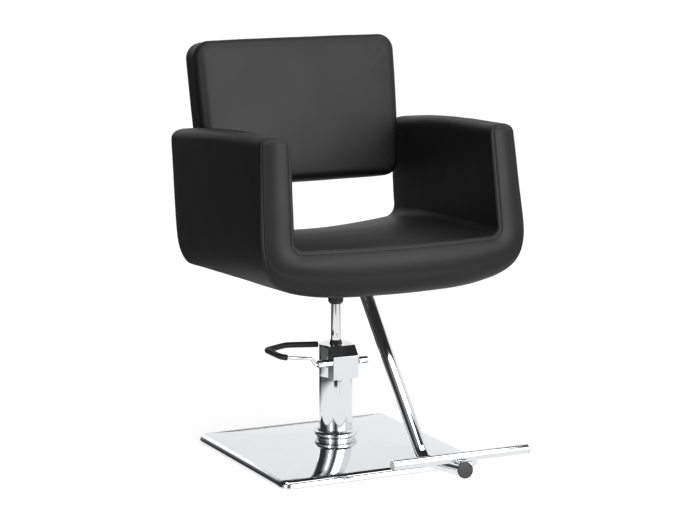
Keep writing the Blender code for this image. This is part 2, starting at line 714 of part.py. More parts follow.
def make_lever(finish, axis):
    """Cross shaft with its rocker and nut, and the hub, bent rod and grip of the pump lever."""
    place = along_x((0.0, -shaft_reach, shaft_height))
    hub_start = box_half + GAP
    shaft = SHAFT_DIAMETER / 2
    shaft_end = hub_start + NUT_NECK + NUT_LENGTH / 2
    hub_deep = hub_start + HUB_LENGTH / 2
    profile = [(0.0, shaft_end), (shaft, shaft_end), (shaft, -hub_deep), (0.0, -hub_deep)]
    add_piece("lever_shaft", turned(profile, SMALL_STEPS, place), finish["steel"], axis)
    bore = shaft + GAP
    nut = NUT_DIAMETER / 2
    nut_low = hub_start + NUT_NECK
    nut_top = nut_low + NUT_LENGTH
    profile = [
        (0.0, nut_top),
        (nut - HEAD_BEVEL, nut_top),
        (nut, nut_top - HEAD_BEVEL),
        (nut, nut_low),
        (bore, nut_low),
        (bore, shaft_end + GAP),
        (0.0, shaft_end + GAP),
    ]
    add_piece("shaft_nut", turned(profile, SMALL_STEPS * 2, place), finish["chrome"], axis)
    hub = HUB_DIAMETER / 2
    rod_bore = LEVER_ROD / 2 + GAP
    profile = [
        (bore, -hub_start),
        (hub, -hub_start),
        (hub, -hub_end + HEAD_BEVEL),
        (hub - HEAD_BEVEL, -hub_end),
        (rod_bore, -hub_end),
        (rod_bore, -hub_deep - GAP),
        (bore, -hub_deep - GAP),
    ]
    add_piece("lever_hub", turned(profile, SMALL_STEPS * 2, place), finish["chrome"], axis)
    outline = [(y - shaft_reach, z + shaft_height) for y, z in rocker_outline()]
    across = Matrix(((0, 0, 1, 0), (1, 0, 0, 0), (0, 1, 0, 0), (0, 0, 0, 1)))
    shape = prism(outline, -ROCKER_WIDTH / 2, ROCKER_WIDTH / 2, across)
    rocker = add_piece("pump_rocker", shape, finish["steel"], axis)
    through = [(0.0, -box_half), (bore, -box_half), (bore, box_half), (0.0, box_half)]
    cut(rocker, "pump_rocker_bore", [turned(through, SMALL_STEPS, place)])
    path = lever_path()
    add_piece("lever_rod", loft(tube_rings(path, LEVER_ROD / 2, ROD_SIDES)), finish["chrome"], axis)
    outer = -hub_end - LEVER_REACH
    start = next(index for index, point in enumerate(path) if point.x < outer + GRIP_START)
    covered = path[start:]
    tail = (path[-1] - path[-2]).normalized()
    shell_path = covered[:-1] + [path[-1] + tail * GRIP_END]
    bore_path = covered[:-1] + [path[-1] + tail * GAP]
    outside = tube_rings(shell_path, GRIP_DIAMETER / 2, ROD_SIDES)
    inside = tube_rings(bore_path, rod_bore, ROD_SIDES)
    add_piece("lever_grip", loft(inside[::-1] + outside), finish["rubber"], axis)


def make_rod(finish, axis):
    """Piston rod with its tapered top, piston head, piston seal and the washer that the seat turns on."""
    taper_low = socket_low + TAPER_START
    neck = rod_radius - TAPER_SHRINK
    rod = [
        (0.0, rod_top),
        (neck, rod_top),
        (rod_radius, taper_low),
        (rod_radius, piston_top + GAP),
        (0.0, piston_top + GAP),
    ]
    add_piece("piston_rod", turned(rod), finish["chrome"], axis)
    outside = bore_radius - GAP
    groove_low = (piston_low + piston_top - PISTON_SEAL) / 2 - GAP
    groove_top = groove_low + PISTON_SEAL + 2 * GAP
    groove = outside - PISTON_GROOVE
    head = [
        (0.0, piston_top),
        (outside, piston_top),
        (outside, groove_top),
        (groove, groove_top),
        (groove, groove_low),
        (outside, groove_low),
        (outside, piston_low),
        (0.0, piston_low),
    ]
    add_piece("piston_head", turned(head), finish["steel"], axis)
    seal = [
        (groove + GAP, groove_low + GAP),
        (outside, groove_low + GAP),
        (outside, groove_top - GAP),
        (groove + GAP, groove_top - GAP),
    ]
    add_piece("piston_seal", turned(seal), finish["rubber"], axis)
    washer_low = rod_top + GAP
    washer_top = socket_top - GAP
    washer = [(0.0, washer_top), (neck, washer_top), (neck, washer_low), (0.0, washer_low)]
    add_piece("swivel_washer", turned(washer), finish["bronze"], axis)


def plate_outline(half_width, front, rear, corner):
    """Flat plate from its front edge to its rear edge, with round corners."""
    return rounded_rectangle(half_width, -front, rear, corner, corner, 4)


def mount_bolt_places():
    x = MOUNT_WIDTH / 2 - MOUNT_INSET
    rows = (MOUNT_REAR - MOUNT_INSET, -MOUNT_FRONT + MOUNT_INSET)
    return [(sign * x, y) for y in rows for sign in (-1, 1)]


def foot_bolt_places():
    x = FOOT_FLANGE_WIDTH / 2 - FLANGE_BOLT_INSET
    reach = FOOT_FLANGE_DEPTH / 2 - FLANGE_BOLT_INSET
    return [(side * x, -POST_TOP_REACH + fore * reach) for fore in (1, -1) for side in (-1, 1)]


def make_mount(finish, axis):
    """Socket on the rod, mount plate with its bolts, and the board in the seat's underside."""
    taper_low = socket_low + TAPER_START
    neck = rod_radius - TAPER_SHRINK
    outside = SOCKET_DIAMETER / 2
    socket = [
        (rod_radius + GAP, socket_low),
        (outside - BUSH_WALL, socket_low),
        (outside, socket_low + TAPER_START),
        (outside, socket_low + SOCKET_STRAIGHT),
        (SOCKET_FLARE / 2, socket_top),
        (neck + GAP, socket_top),
        (neck + GAP, rod_top),
        (rod_radius + GAP, taper_low),
    ]
    add_piece("seat_socket", turned(socket), finish["black"], axis)
    outline = plate_outline(MOUNT_WIDTH / 2, MOUNT_FRONT, MOUNT_REAR, PLATE_CORNER)
    shape = prism(outline, plate_low, plate_low + MOUNT_PLATE)
    plate = add_piece("mount_plate", shape, finish["black"], axis)
    below = plate_low - MOUNT_PLATE
    above = seat_low + MOUNT_PLATE
    places = mount_bolt_places() + foot_bolt_places()
    cut(plate, "mount_plate_holes", [bolt_hole(x, y, below, above) for x, y in places])
    for number, (x, y) in enumerate(mount_bolt_places(), 1):
        shape = bolt_shape(x, y, plate_low, MOUNT_PLATE + GAP + BOLT_GRIP)
        add_piece(f"mount_bolt_{number}", shape, finish["steel"], axis)
    outline = plate_outline(BOARD_WIDTH / 2, board_front, board_rear, PLATE_CORNER)
    shape = prism(outline, seat_low, seat_low + BOARD_THICKNESS)
    board = add_piece("seat_board", shape, finish["wood"], axis)
    deep = seat_low + BOLT_GRIP + GAP
    cut(board, "seat_board_holes", [bolt_hole(x, y, plate_low, deep) for x, y in mount_bolt_places()])


def post_path():
    """Centre line of the footrest post: down and forward from the seat, then forward near the floor."""
    corners = [
        (0.0, -POST_TOP_REACH, foot_flange_low - GAP),
        (0.0, -POST_BEND_REACH, seat_low - POST_BEND_DROP),
        (0.0, -FOOT_REACH, seat_low - FOOT_DROP),
    ]
    return rounded_path(corners, [POST_BEND_RADIUS], 8)


def make_footrest(finish, axis):
    """Flange with its bolts, bent post with its cap, and the cross bar with its two plugs."""
    middle = -POST_TOP_REACH
    half_depth = FOOT_FLANGE_DEPTH / 2
    outline = plate_outline(FOOT_FLANGE_WIDTH / 2, -middle + half_depth, middle + half_depth, PLATE_CORNER)
    shape = prism(outline, foot_flange_low, foot_flange_low + FOOT_FLANGE)
    flange = add_piece("footrest_flange", shape, finish["black"], axis)
    below = foot_flange_low - FOOT_FLANGE
    cut(flange, "footrest_flange_holes", [bolt_hole(x, y, below, seat_low) for x, y in foot_bolt_places()])
    for number, (x, y) in enumerate(foot_bolt_places(), 1):
        shape = bolt_shape(x, y, foot_flange_low, FOOT_FLANGE + GAP + MOUNT_PLATE)
        add_piece(f"footrest_bolt_{number}", shape, finish["steel"], axis)
    path = post_path()
    down = (path[1] - path[0]).normalized()
    outside = tube_rings(path, POST_DIAMETER / 2, TUBE_SIDES)
    inside = tube_rings(path, POST_DIAMETER / 2 - TUBE_WALL, TUBE_SIDES)
    for rings in (outside, inside):
        rings[0] = flattened(rings[0], down, foot_flange_low - GAP)
    add_piece("footrest_post", loft(outside + inside[::-1], True), finish["chrome"], axis)
    ahead = (path[-1] - path[-2]).normalized()
    facing = Matrix.Translation(path[-1]) @ ahead.to_track_quat("Z", "Y").to_matrix().to_4x4()
    cap = CAP_DIAMETER / 2
    spigot = POST_DIAMETER / 2 - TUBE_WALL - GAP
    profile = [
        (0.0, CAP_THICKNESS),
        (cap - CAP_ROUND, CAP_THICKNESS),
        (cap, CAP_THICKNESS - CAP_ROUND),
        (cap, GAP),
        (spigot, GAP),
        (spigot, -SPIGOT_LENGTH),
        (0.0, -SPIGOT_LENGTH),
    ]
    add_piece("post_cap", turned(profile, SMALL_STEPS * 2, facing), finish["dark_plastic"], axis)
    upward = Vector((0.0, ahead.z, -ahead.y))
    lift = POST_DIAMETER / 2 + GAP + BAR_DIAMETER / 2
    centre = path[-1] - ahead * BAR_SETBACK + upward * lift
    bar_place = along_x(centre)
    half = BAR_LENGTH / 2
    radius = BAR_DIAMETER / 2
    bore = radius - TUBE_WALL
    bar = [(bore, -half), (radius, -half), (radius, half), (bore, half)]
    add_piece("footrest_bar", turned(bar, SMALL_STEPS * 2, bar_place), finish["chrome"], axis)
    for name, sign in (("bar_plug_left", -1), ("bar_plug_right", 1)):
        plug = [
            (0.0, sign * (half + GAP + PLUG_HEAD)),
            (radius - CAP_ROUND, sign * (half + GAP + PLUG_HEAD)),
            (radius, sign * (half + GAP + PLUG_HEAD - CAP_ROUND)),
            (radius, sign * (half + GAP)),
            (bore - GAP, sign * (half + GAP)),
            (bore - GAP, sign * (half - SPIGOT_LENGTH)),
            (0.0, sign * (half - SPIGOT_LENGTH)),
        ]
        add_piece(name, turned(plug, SMALL_STEPS * 2, bar_place), finish["pale_plastic"], axis)


def front_at(x, z):
    """Front face of the padded U: raked back towards the top and bowed forward in the middle."""
    return -FRONT_REACH + FRONT_RAKE * (z - seat_top) + x**2 / (2 * FRONT_BOW)


def rear_at(z):
    """Rear face of the padded U, which leans back towards the top."""
    return SEAT_REAR + REAR_LEAN * (z - seat_top)


def inner_line(corner, fall, dish):
    """Inner face of the U, from the middle of the seat to an arm's shoulder, for one corner radius."""
    level = seat_top - fall
    line = [(share * (seat_half - corner), level) for share in SEAT_SHARES]
    line += arc((seat_half - corner, level + corner), corner, -90, 0, CORNER_STEPS)
    return with_arm([(x, z + dish * (x / seat_half) ** 2) for x, z in line], seat_half)


def outer_line():
    """Outer face of the U: half a superellipse under the seat, then the arm's side."""
    line = []
    for share in UNDER_SHARES:
        drop = SHELL_SIDE * (1.0 - share**SHELL_POWER) ** (1.0 / SHELL_POWER)
        line.append((share * shell_half, seat_low + SHELL_SIDE - drop))
    return with_arm(line, arm_out_top)


def with_arm(line, top_x):
    """Carries a line on from its last point up to the arm's shoulder."""
    points = [Vector(point) for point in line]
    shoulder = Vector((top_x, arm_top - ARM_ROUND))
    return points + [points[-1].lerp(shoulder, share) for share in ARM_SHARES]


def half_stations():
    """Stations from mid seat to an arm's shoulder: front and rear inner point, outer point, share of arm."""
    bend = [step / CORNER_STEPS for step in range(CORNER_STEPS + 1)]
    shares = [0.0] * len(SEAT_SHARES) + bend + [1.0] * len(ARM_SHARES)
    front_line = inner_line(CORNER_IN, 0.0, 0.0)
    rear_line = inner_line(CORNER_IN_REAR, SEAT_FALL, SEAT_DISH)
    return list(zip(front_line, rear_line, outer_line(), shares))


def band_outline(thick, depth, arm, shrink):
    """Section across the U, from inner to outer face and from front to rear, with round edges and crowns."""
    under = UNDER_ROUND + (FRONT_EDGE - UNDER_ROUND) * arm
    front = FRONT_EDGE
    rear_out = REAR_OUT_EDGE
    rear_in = REAR_IN_EDGE
    outline = arc((front, front), front, 180, 270, 2)
    outline.append(((front + thick - under) / 2, -FRONT_CROWN))
    outline += arc((thick - under, under), under, 270, 360, 3)
    for share in SIDE_SHARES:
        outline.append((thick + ARM_CROWN * arm * math.sin(math.pi * share), depth * share))
    outline += arc((thick - rear_out, depth - rear_out), rear_out, 0, 90, 3)
    outline.append(((rear_in + thick - rear_out) / 2, depth + REAR_CROWN))
    outline += arc((rear_in, depth - rear_in), rear_in, 90, 180, 2)
    for share in SEAT_RUN_SHARES:
        outline.append((-SEAT_CROWN * (1.0 - arm) * math.sin(math.pi * share), depth * share))
    kept = []
    for across, back in outline:
        across = thick / 2 + (across - thick / 2) * (1.0 - 2 * shrink / thick)
        back = depth / 2 + (back - depth / 2) * (1.0 - 2 * shrink / depth)
        kept.append((across, back))
    return kept


def shell_ring(inner_front, inner_rear, outer, arm, shrink=0.0, lift=0.0):
    """One section of the padded U, as points in space."""
    thick = (outer - inner_front).length
    middle = (inner_front + outer) / 2
    depth = rear_at(middle.y) - front_at(middle.x, middle.y)
    knee = seat_top + CORNER_IN
    rise = (outer.y - seat_low) / (arm_top - ARM_ROUND - seat_low)
    side = min(1.0, 2 * arm) * (1.0 - rise)
    ring = []
    for across, back in band_outline(thick, depth, arm, shrink):
        share = across / thick
        run = back / depth
        x, z = inner_front.lerp(inner_rear, run).lerp(outer, share)
        start = front_at(x, z)
        y = start + run * (rear_at(z) - start)
        z -= UNDER_FALL * run * share * side
        height = max(0.0, (z - knee) / (arm_top - knee))
        x += height * (ARM_SPLAY * run * (1.0 - share) - ARM_LEAN * (1.0 - run) ** 2)
        z += height * (ARM_TOP_CROWN * math.sin(math.pi * run) - ARM_DROP * run)
        ring.append((x, y, z + lift))
    return ring


def make_shell(finish, axis):
    """Padded U of seat and arms, hollowed below for the board and bored for the back pad's studs."""
    stations = half_stations()
    right = [shell_ring(*station) for station in stations]
    for angle in TOP_TURNS:
        turn = math.radians(angle)
        shrink = ARM_ROUND * (1.0 - math.cos(turn))
        right.append(shell_ring(*stations[-1], shrink, ARM_ROUND * math.sin(turn)))
    left = [[(-x, y, z) for x, y, z in ring] for ring in right[:0:-1]]
    shell = add_piece("seat_shell", loft(left + right), finish["vinyl"], axis)
    outline = plate_outline(BOARD_WIDTH / 2 + GAP, board_front + GAP, board_rear + GAP, PLATE_CORNER)
    pocket = prism(outline, plate_low - BOARD_THICKNESS, seat_low + BOARD_THICKNESS + GAP)
    cut(shell, "seat_shell_pocket", [pocket])
    cut(shell, "seat_shell_stud_holes", stud_holes())


def pad_point(x, up, back):
    """Point of the back pad from its own width, height and depth, set at the pad's recline."""
    y = pad_front + up * math.sin(PAD_RECLINE) + back * math.cos(PAD_RECLINE)
    z = pad_low + up * math.cos(PAD_RECLINE) - back * math.sin(PAD_RECLINE)
    return (x, y, z)


def pad_narrowing(up):
    """Share of the pad's full width at a height: the arms squeeze it at the bottom."""
    return 1.0 - PAD_SQUEEZE / pad_half * (1.0 - up / PAD_HEIGHT) ** 2


def stud_places():
    """Where the back pad's studs cross to the arm: in the middle of its thickness, low on its side."""
    return [pad_point(0.0, STUD_LOW + STUD_PITCH * number, PAD_THICKNESS / 2)[1:] for number in (0, 1)]


def stud_shape(sign, place, clearance=0.0):
    """Stud through the gap between an arm and the pad, or the hole for one."""
    radius = STUD_DIAMETER / 2 + clearance
    start = pad_half - STUD_DEPTH - clearance
    end = pad_half + STUD_DEPTH + clearance
    profile = [(0.0, end), (radius, end), (radius, start), (0.0, start)]
    shape = turned(profile, SMALL_STEPS, along_x((0.0, *place)))
    if sign < 0:
        shape.transform(Matrix.Scale(-1.0, 4, (1, 0, 0)))
    return shape


def stud_holes():
    """Cutters for the four studs."""
    return [stud_shape(sign, place, GAP) for sign in (-1, 1) for place in stud_places()]


def make_pad(finish, axis):
    """Back pad: a crowned cushion with drawn-in sides, held between the arms by four studs."""
    front = PAD_FRONT_EDGE
    rear = PAD_REAR_EDGE
    deep = PAD_THICKNESS
    bevel = 1.0 - math.sqrt(0.5)
    profile = [
        (PAD_REAR_FLAT, deep + PAD_WAIST),
        (rear, deep),
        (rear * bevel, deep - rear * bevel),
        (0.0, deep - rear),
        (PAD_WAIST, (deep + front - rear) / 2),
        (0.0, front),
        (front * bevel, front * bevel),
        (front, 0.0),
    ]
    for share in CROWN_SHARES:
        profile.append((front + PAD_CROWN_RUN * share, -PAD_CROWN * math.sin(share * math.pi / 2)))
    rings = []
    for inset, back in profile:
        high = max(PAD_TOP_CORNER - inset, PAD_REAR_EDGE)
        low = max(PAD_LOW_CORNER - inset, PAD_REAR_EDGE)
        outline = rounded_rectangle(pad_half - inset, inset, PAD_HEIGHT - inset, low, high, 6)
        rings.append([pad_point(x * pad_narrowing(up), up, back) for x, up in outline])
    pad = add_piece("back_pad", loft(rings), finish["vinyl"], axis)
    cut(pad, "back_pad_stud_holes", stud_holes())
    for side, sign in (("left", -1), ("right", 1)):
        for level, place in zip(("lower", "upper"), stud_places()):
            add_piece(f"back_stud_{side}_{level}", stud_shape(sign, place), finish["steel"], axis)


def main():
    clear_scene()
    finish = make_materials()
    lift = make_axis("lift_axis", (0.0, 0.0, head_top))
    swivel = make_axis("swivel_axis", (0.0, 0.0, socket_top))
    lever = make_axis("lever_axis", (0.0, -shaft_reach, shaft_height))
    plunger = make_axis("plunger_axis", (0.0, -barrel_reach, barrel_top))
    make_base(finish)
    make_column(finish)
    make_pump_box(finish)
    make_plunger(finish, plunger)
    make_lever(finish, lever)
    make_rod(finish, lift)
    make_mount(finish, swivel)
    make_footrest(finish, swivel)
    make_shell(finish, swivel)
    make_pad(finish, swivel)


main()
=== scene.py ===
"""Hairdressing chair: sewn covers, plated metal and a plain studio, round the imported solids.

Everything is in metres in the solids' own frame: +Z up, the sitter faces -Y and the origin is on
the floor under the column. The covers, tubes and turned pieces are surfaces worked out on grids.
The solids that are simple enough stay and get a finish.
"""

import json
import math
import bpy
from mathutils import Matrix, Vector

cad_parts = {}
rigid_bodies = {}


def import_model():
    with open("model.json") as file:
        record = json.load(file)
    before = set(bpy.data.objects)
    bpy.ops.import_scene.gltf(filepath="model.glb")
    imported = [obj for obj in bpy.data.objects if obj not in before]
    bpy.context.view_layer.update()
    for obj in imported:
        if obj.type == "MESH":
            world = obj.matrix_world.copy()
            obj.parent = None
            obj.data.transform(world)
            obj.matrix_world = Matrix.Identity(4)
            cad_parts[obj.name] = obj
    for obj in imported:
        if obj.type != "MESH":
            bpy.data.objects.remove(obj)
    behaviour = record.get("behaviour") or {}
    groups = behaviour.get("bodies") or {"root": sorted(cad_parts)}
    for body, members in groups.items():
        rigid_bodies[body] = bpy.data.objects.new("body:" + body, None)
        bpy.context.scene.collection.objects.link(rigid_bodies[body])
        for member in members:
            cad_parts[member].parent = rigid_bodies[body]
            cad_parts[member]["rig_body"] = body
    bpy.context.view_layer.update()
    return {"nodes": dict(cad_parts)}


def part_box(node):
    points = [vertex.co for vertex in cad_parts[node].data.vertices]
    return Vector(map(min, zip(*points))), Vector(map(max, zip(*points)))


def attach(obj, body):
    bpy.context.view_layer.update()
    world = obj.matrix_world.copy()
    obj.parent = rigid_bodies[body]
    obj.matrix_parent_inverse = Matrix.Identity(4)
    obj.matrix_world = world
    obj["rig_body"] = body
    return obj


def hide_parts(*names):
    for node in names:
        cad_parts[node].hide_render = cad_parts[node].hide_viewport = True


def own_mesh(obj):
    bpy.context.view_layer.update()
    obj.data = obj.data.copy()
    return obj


bl_info = {
    "name": "Hairdressing chair covers and finishes",
    "version": (1, 0, 0),
    "blender": (4, 5, 0),
    "location": "View3D > Sidebar > Chair",
    "description": "Sews the covers, plates the metal and lights the chair in a plain studio",
    "category": "Object",
}

import bmesh
import bpy
import numpy as np
from mathutils import Vector

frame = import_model()

# Where the solids are
seat_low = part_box("seat_board")[0].z
flange_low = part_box("footrest_flange")[0].z
hub_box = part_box("lever_hub")
head_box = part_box("pump_head")
ring_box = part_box("column_ring")
sleeve_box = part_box("pump_sleeve")
seal_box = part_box("rod_seal")
rod_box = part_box("piston_rod")
socket_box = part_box("seat_socket")
nut_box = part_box("shaft_nut")
spring_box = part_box("plunger_spring")
bar_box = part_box("footrest_bar")

# Base and column, shared with the solids
GAP = 0.0003  # between pieces that touch
BASE_SIDE = 0.532  # at the floor
BASE_CORNER = 0.030
RIM_HEIGHT = 0.020
RIM_SLOPE = 0.011  # each side's rim leans in this far
RIM_ROUND = 0.005
DOME_RISE = 0.019
COVER_SHEET = 0.002
SKIRT_LIFT = 0.001  # skirt's lower edge above the floor
SLEEVE_RADIUS = 0.041
SLEEVE_WALL = 0.0015
RING_BULGE = 0.0125  # how far the foot ring stands out from the sleeve
RING_ROUND = 0.0087  # radius of the foot ring's bulge
RING_TURN = 80.0  # degrees of the foot ring's bulge above and below its middle
ROD_RADIUS = 0.012
BUSH_WALL = 0.003
HEAD_FLAT = 0.0262
LEDGE_HEIGHT = 0.010
HEAD_BEVEL = 0.002
SOCKET_RADIUS = 0.019
SOCKET_FLARE = 0.030
SOCKET_CHAMFER = 0.006
TAPER_START = 0.006  # rod's taper above the socket's lower end
TAPER_SHRINK = 0.0025  # radius lost along the rod's taper

# Pump lever, shared with the solids
HUB_RADIUS = 0.010
NUT_RADIUS = 0.009
LEVER_ROD = 0.008
SHAFT_RADIUS = 0.005
LEVER_REACH = 0.096  # beyond the hub's end
LEVER_STEP = 0.016  # rod's rise beside the hub
LEVER_RISE = 0.027  # rod's rise at its outer end
LEVER_SPAN = 0.091  # from the front rod back to the pedal bar's corner
PEDAL_BOW = 0.034  # pedal bar's middle behind its corner
PEDAL_MIDDLE = 0.068  # from the outer end inwards
PEDAL_LENGTH = 0.140
PEDAL_HOOK = 0.008  # pedal bar's free end behind its corner
LEVER_BEND = 0.017
STEP_BEND = 0.006  # where the rod steps up beside the hub
GRIP_START = 0.0153  # from the rod's outer end inwards, on its front
GRIP_DIAMETER = 0.0145
GRIP_END = 0.004
SPRING_WIRE = 0.0012
SPRING_TURNS = 4

# Footrest and bolts, shared with the solids
POST_RADIUS = 0.016
TUBE_WALL = 0.002
POST_TOP_REACH = 0.152
POST_BEND_REACH = 0.467
POST_BEND_DROP = 0.364  # below the seat's underside
POST_BEND_RADIUS = 0.060
FOOT_REACH = 0.660
FOOT_DROP = 0.342
BAR_RADIUS = 0.011
CAP_RADIUS = 0.019
CAP_THICKNESS = 0.005
CAP_ROUND = 0.0015
SPIGOT_LENGTH = 0.012
PLUG_HEAD = 0.003
BOLT_HEAD_RADIUS = 0.0065
BOLT_HEAD_HEIGHT = 0.005
BOLT_SHANK_RADIUS = 0.004
BOLT_NUMBERS = (1, 2, 3, 4)

# Padded U, shared with the solids
SEAT_THICKNESS = 0.124
SEAT_WIDTH = 0.527  # between the arms, at the front
ARM_SPLAY = 0.013  # each arm's inner face moves out this far at its rear top
ARM_LEAN = 0.0075  # each arm leans in this far at its front top
SHELL_WIDTH = 0.690
SHELL_SIDE = 0.150  # the side stands upright from this height above the seat's underside
SHELL_POWER = 3.6  # superellipse exponent of the underside
UNDER_FALL = 0.042  # lower side edges sink this far from front to rear
ARM_TOP_WIDTH = 0.075
ARM_HEIGHT = 0.382  # front of the arm above the seat's underside
ARM_DROP = 0.044  # arm's rear end lower than its front
ARM_TOP_CROWN = 0.006
ARM_ROUND = 0.024
CORNER_IN = 0.018
CORNER_IN_REAR = 0.028
FRONT_REACH = 0.365
FRONT_RAKE = 0.145  # run over rise
FRONT_BOW = 1.65  # plan radius of the front
FRONT_CROWN = 0.006
FRONT_EDGE = 0.010
UNDER_ROUND = 0.055  # front lower edge, under the seat
SEAT_REAR = 0.214
REAR_LEAN = 0.190  # run over rise
REAR_OUT_EDGE = 0.034
REAR_IN_EDGE = 0.012
REAR_CROWN = 0.004
SEAT_CROWN = 0.012
SEAT_FALL = 0.046  # middle of the seat, from front to rear
SEAT_DISH = 0.018  # the seat's rear edge rises this far from its middle to the arms
ARM_CROWN = 0.004

# Back pad, shared with the solids
PAD_BOTTOM = 0.203  # above the seat's underside
PAD_HEIGHT = 0.365
PAD_THICKNESS = 0.086
PAD_SETBACK = 0.060  # pad's lower front edge in front of the seat's rear
PAD_RECLINE = math.radians(10.0)
PAD_FLARE = 0.0115  # pad's upper half width beyond the arm's inner face at the front
PAD_SQUEEZE = 0.0135  # each side drawn in at the bottom, between the arms
PAD_TOP_CORNER = 0.044
PAD_LOW_CORNER = 0.040
PAD_FRONT_EDGE = 0.022
PAD_REAR_EDGE = 0.012
PAD_CROWN = 0.005  # less than the solid's, because the filling swells the cover
PAD_WAIST = 0.002

# Worked out from the shared sizes
seat_top = seat_low + SEAT_THICKNESS
arm_top = seat_low + ARM_HEIGHT
seat_half = SEAT_WIDTH / 2
shell_half = SHELL_WIDTH / 2
arm_out_top = seat_half + ARM_TOP_WIDTH
pad_low = seat_low + PAD_BOTTOM
pad_front = SEAT_REAR - PAD_SETBACK
pad_half = seat_half + PAD_FLARE
shaft_y = (hub_box[0].y + hub_box[1].y) / 2
shaft_z = (hub_box[0].z + hub_box[1].z) / 2
lever_end = hub_box[0].x - LEVER_REACH
bar_middle = (0.0, (bar_box[0].y + bar_box[1].y) / 2, (bar_box[0].z + bar_box[1].z) / 2)
piston_bore = ROD_RADIUS + GAP
neck_radius = ROD_RADIUS - TAPER_SHRINK
taper_low = socket_box[0].z + TAPER_START

# Finer than the solids: shares of a height or radius
SOCKET_KNEE = 0.62  # where the socket's flare starts
SEAL_STEP = 1.6  # seal's step in above the pump head, in lips
GRIP_LIP = 0.3  # rounding of the grip's ends
BOLT_KEY = 0.42  # half the width of the hexagon
BOLT_KEY_DEPTH = 0.55
BOLT_RIM = 0.62  # where the head's dome starts
BOLT_DOME = 0.5

# Radii of rounded edges
TINY_EDGE = 0.0003
TUBE_EDGE = 0.0004
FINE_EDGE = 0.0005
PLUG_EDGE = 0.0008
PLATE_EDGE = 0.0010
SHEET_EDGE = 0.0012
CHAMFER_ROUND = 0.003
FLARE_ROUND = 0.012

# Fineness of the grids
TURN_STEPS = 96
TUBE_STEPS = 40
SMALL_STEPS = 48
EDGE_STEPS = 5
BEVEL_STEPS = 3
BEND_STEPS = 14
DOME_ROWS = 28
RIM_STEPS = 16
RIM_START = math.radians(9.0)
RING_STEPS = 26
GRIP_END_STEPS = 6
COIL_STEPS = 32
WIRE_STEPS = 10
BOLT_DOME_STEPS = 7
STATION_STEPS = 2000
MERGE = 1e-6
CLOSING_STEP = 100 * MERGE  # between the last ring of a tube and the point that closes it
FLAT_ANGLE = math.radians(1.0)
SMOOTH_ANGLE = math.radians(32.0)

# Directions
LEFT = (-1.0, 0.0, 0.0)
RIGHT = (1.0, 0.0, 0.0)
UP = (0.0, 0.0, 1.0)
STEEP = 0.9  # upright share of a direction from which it counts as upright

# Marks on worked metal are so many times as long as wide
MARK_STRETCH = 8.0

# Stations of the padded U: 0 in the seat's middle, 3 to 9 round the corner, 12 at the shoulder
CORNER_START = 3.0
CORNER_END = 9.0
SHOULDER = 12.0
INNER_SHARES = (0.0, 0.4, 0.75, 1.0)
OUTER_SHARES = (0.0, 0.25, 0.50, 0.68, 0.80, 0.88, 0.935, 0.972, 0.993, 1.0)
ARM_RISE_STATIONS = (9.0, 10.0, 11.0, 12.0)
ARM_RISE_SHARES = (0.0, 0.35, 0.7, 1.0)

# Outer seam of the front band, by its degrees round the edge from the front to the side
SEAM_STATIONS = (0.0, 2.0, 3.9, 4.9, 6.0, 7.3, 8.5, 9.2, 10.3, 11.3, 12.0)
SEAM_TURNS = (82.0, 82.0, 66.0, 58.0, 48.0, 34.0, 17.0, 16.0, 29.0, 37.0, 37.0)


# Settings


def linear(code):
    """Linear colour of an sRGB hex value: each channel is taken back through the sRGB curve."""
    channels = [int(code[start : start + 2], 16) / 255 for start in (1, 3, 5)]
    return tuple(c / 12.92 if c <= 0.04045 else ((c + 0.055) / 1.055) ** 2.4 for c in channels)


def length_setting(name, description, default):
    """Property for a length."""
    return bpy.props.FloatProperty(
        name=name, description=description, default=default, unit="LENGTH", subtype="DISTANCE"
    )


def colour_setting(name, description, code):
    """Property for a colour, whose default is an sRGB hex value."""
    return bpy.props.FloatVectorProperty(
        name=name, description=description, default=linear(code), subtype="COLOR", min=0.0, max=1.0
    )


def place_setting(name, description, default):
    """Property for a point."""
    return bpy.props.FloatVectorProperty(
        name=name, description=description, default=default, subtype="TRANSLATION", unit="LENGTH"
    )


def power_setting(name, description, default):
    """Property for a light's power."""
    return bpy.props.FloatProperty(
        name=name, description=description, default=default, unit="POWER"
    )


class CoverSizes(bpy.types.PropertyGroup):
    """Sizes of the padding and of the sewing on the two covers."""

    pressure: bpy.props.FloatProperty(
        name="Filling pressure",
        description="Inner pressure that swells the panels between their seams",
        default=4.0,
        min=0.0,
    )
    shell_swell: length_setting(
        "Shell swell", "Furthest that a point of the seat and arms moves out", 0.0030
    )
    pad_swell: length_setting(
        "Pad swell", "Furthest that a point of the back pad moves out", 0.0035
    )
    start_inset: length_setting(
        "Start inset", "How far inside the solid the cover starts before it swells", 0.0015
    )
    evening: bpy.props.IntProperty(
        name="Evening",
        description="Rounds that even the swelling out, as dense foam does",
        default=24,
        min=0,
    )
    seam_depth: length_setting("Seam depth", "How deep a seam pulls into the padding", 0.0016)
    waviness: length_setting(
        "Waviness", "Height of the slow unevenness of stretched cover over foam", 0.0004
    )
    stitch_length: length_setting("Stitch length", "Length of one stitch", 0.0042)
    stitch_gap: length_setting("Stitch gap", "Cover showing between two stitches", 0.0014)
    stitch_offset: length_setting(
        "Stitch offset", "Row of stitches beside the shoulder of its seam", 0.0012
    )
    thread: length_setting("Thread", "Diameter of the sewing thread", 0.0009)


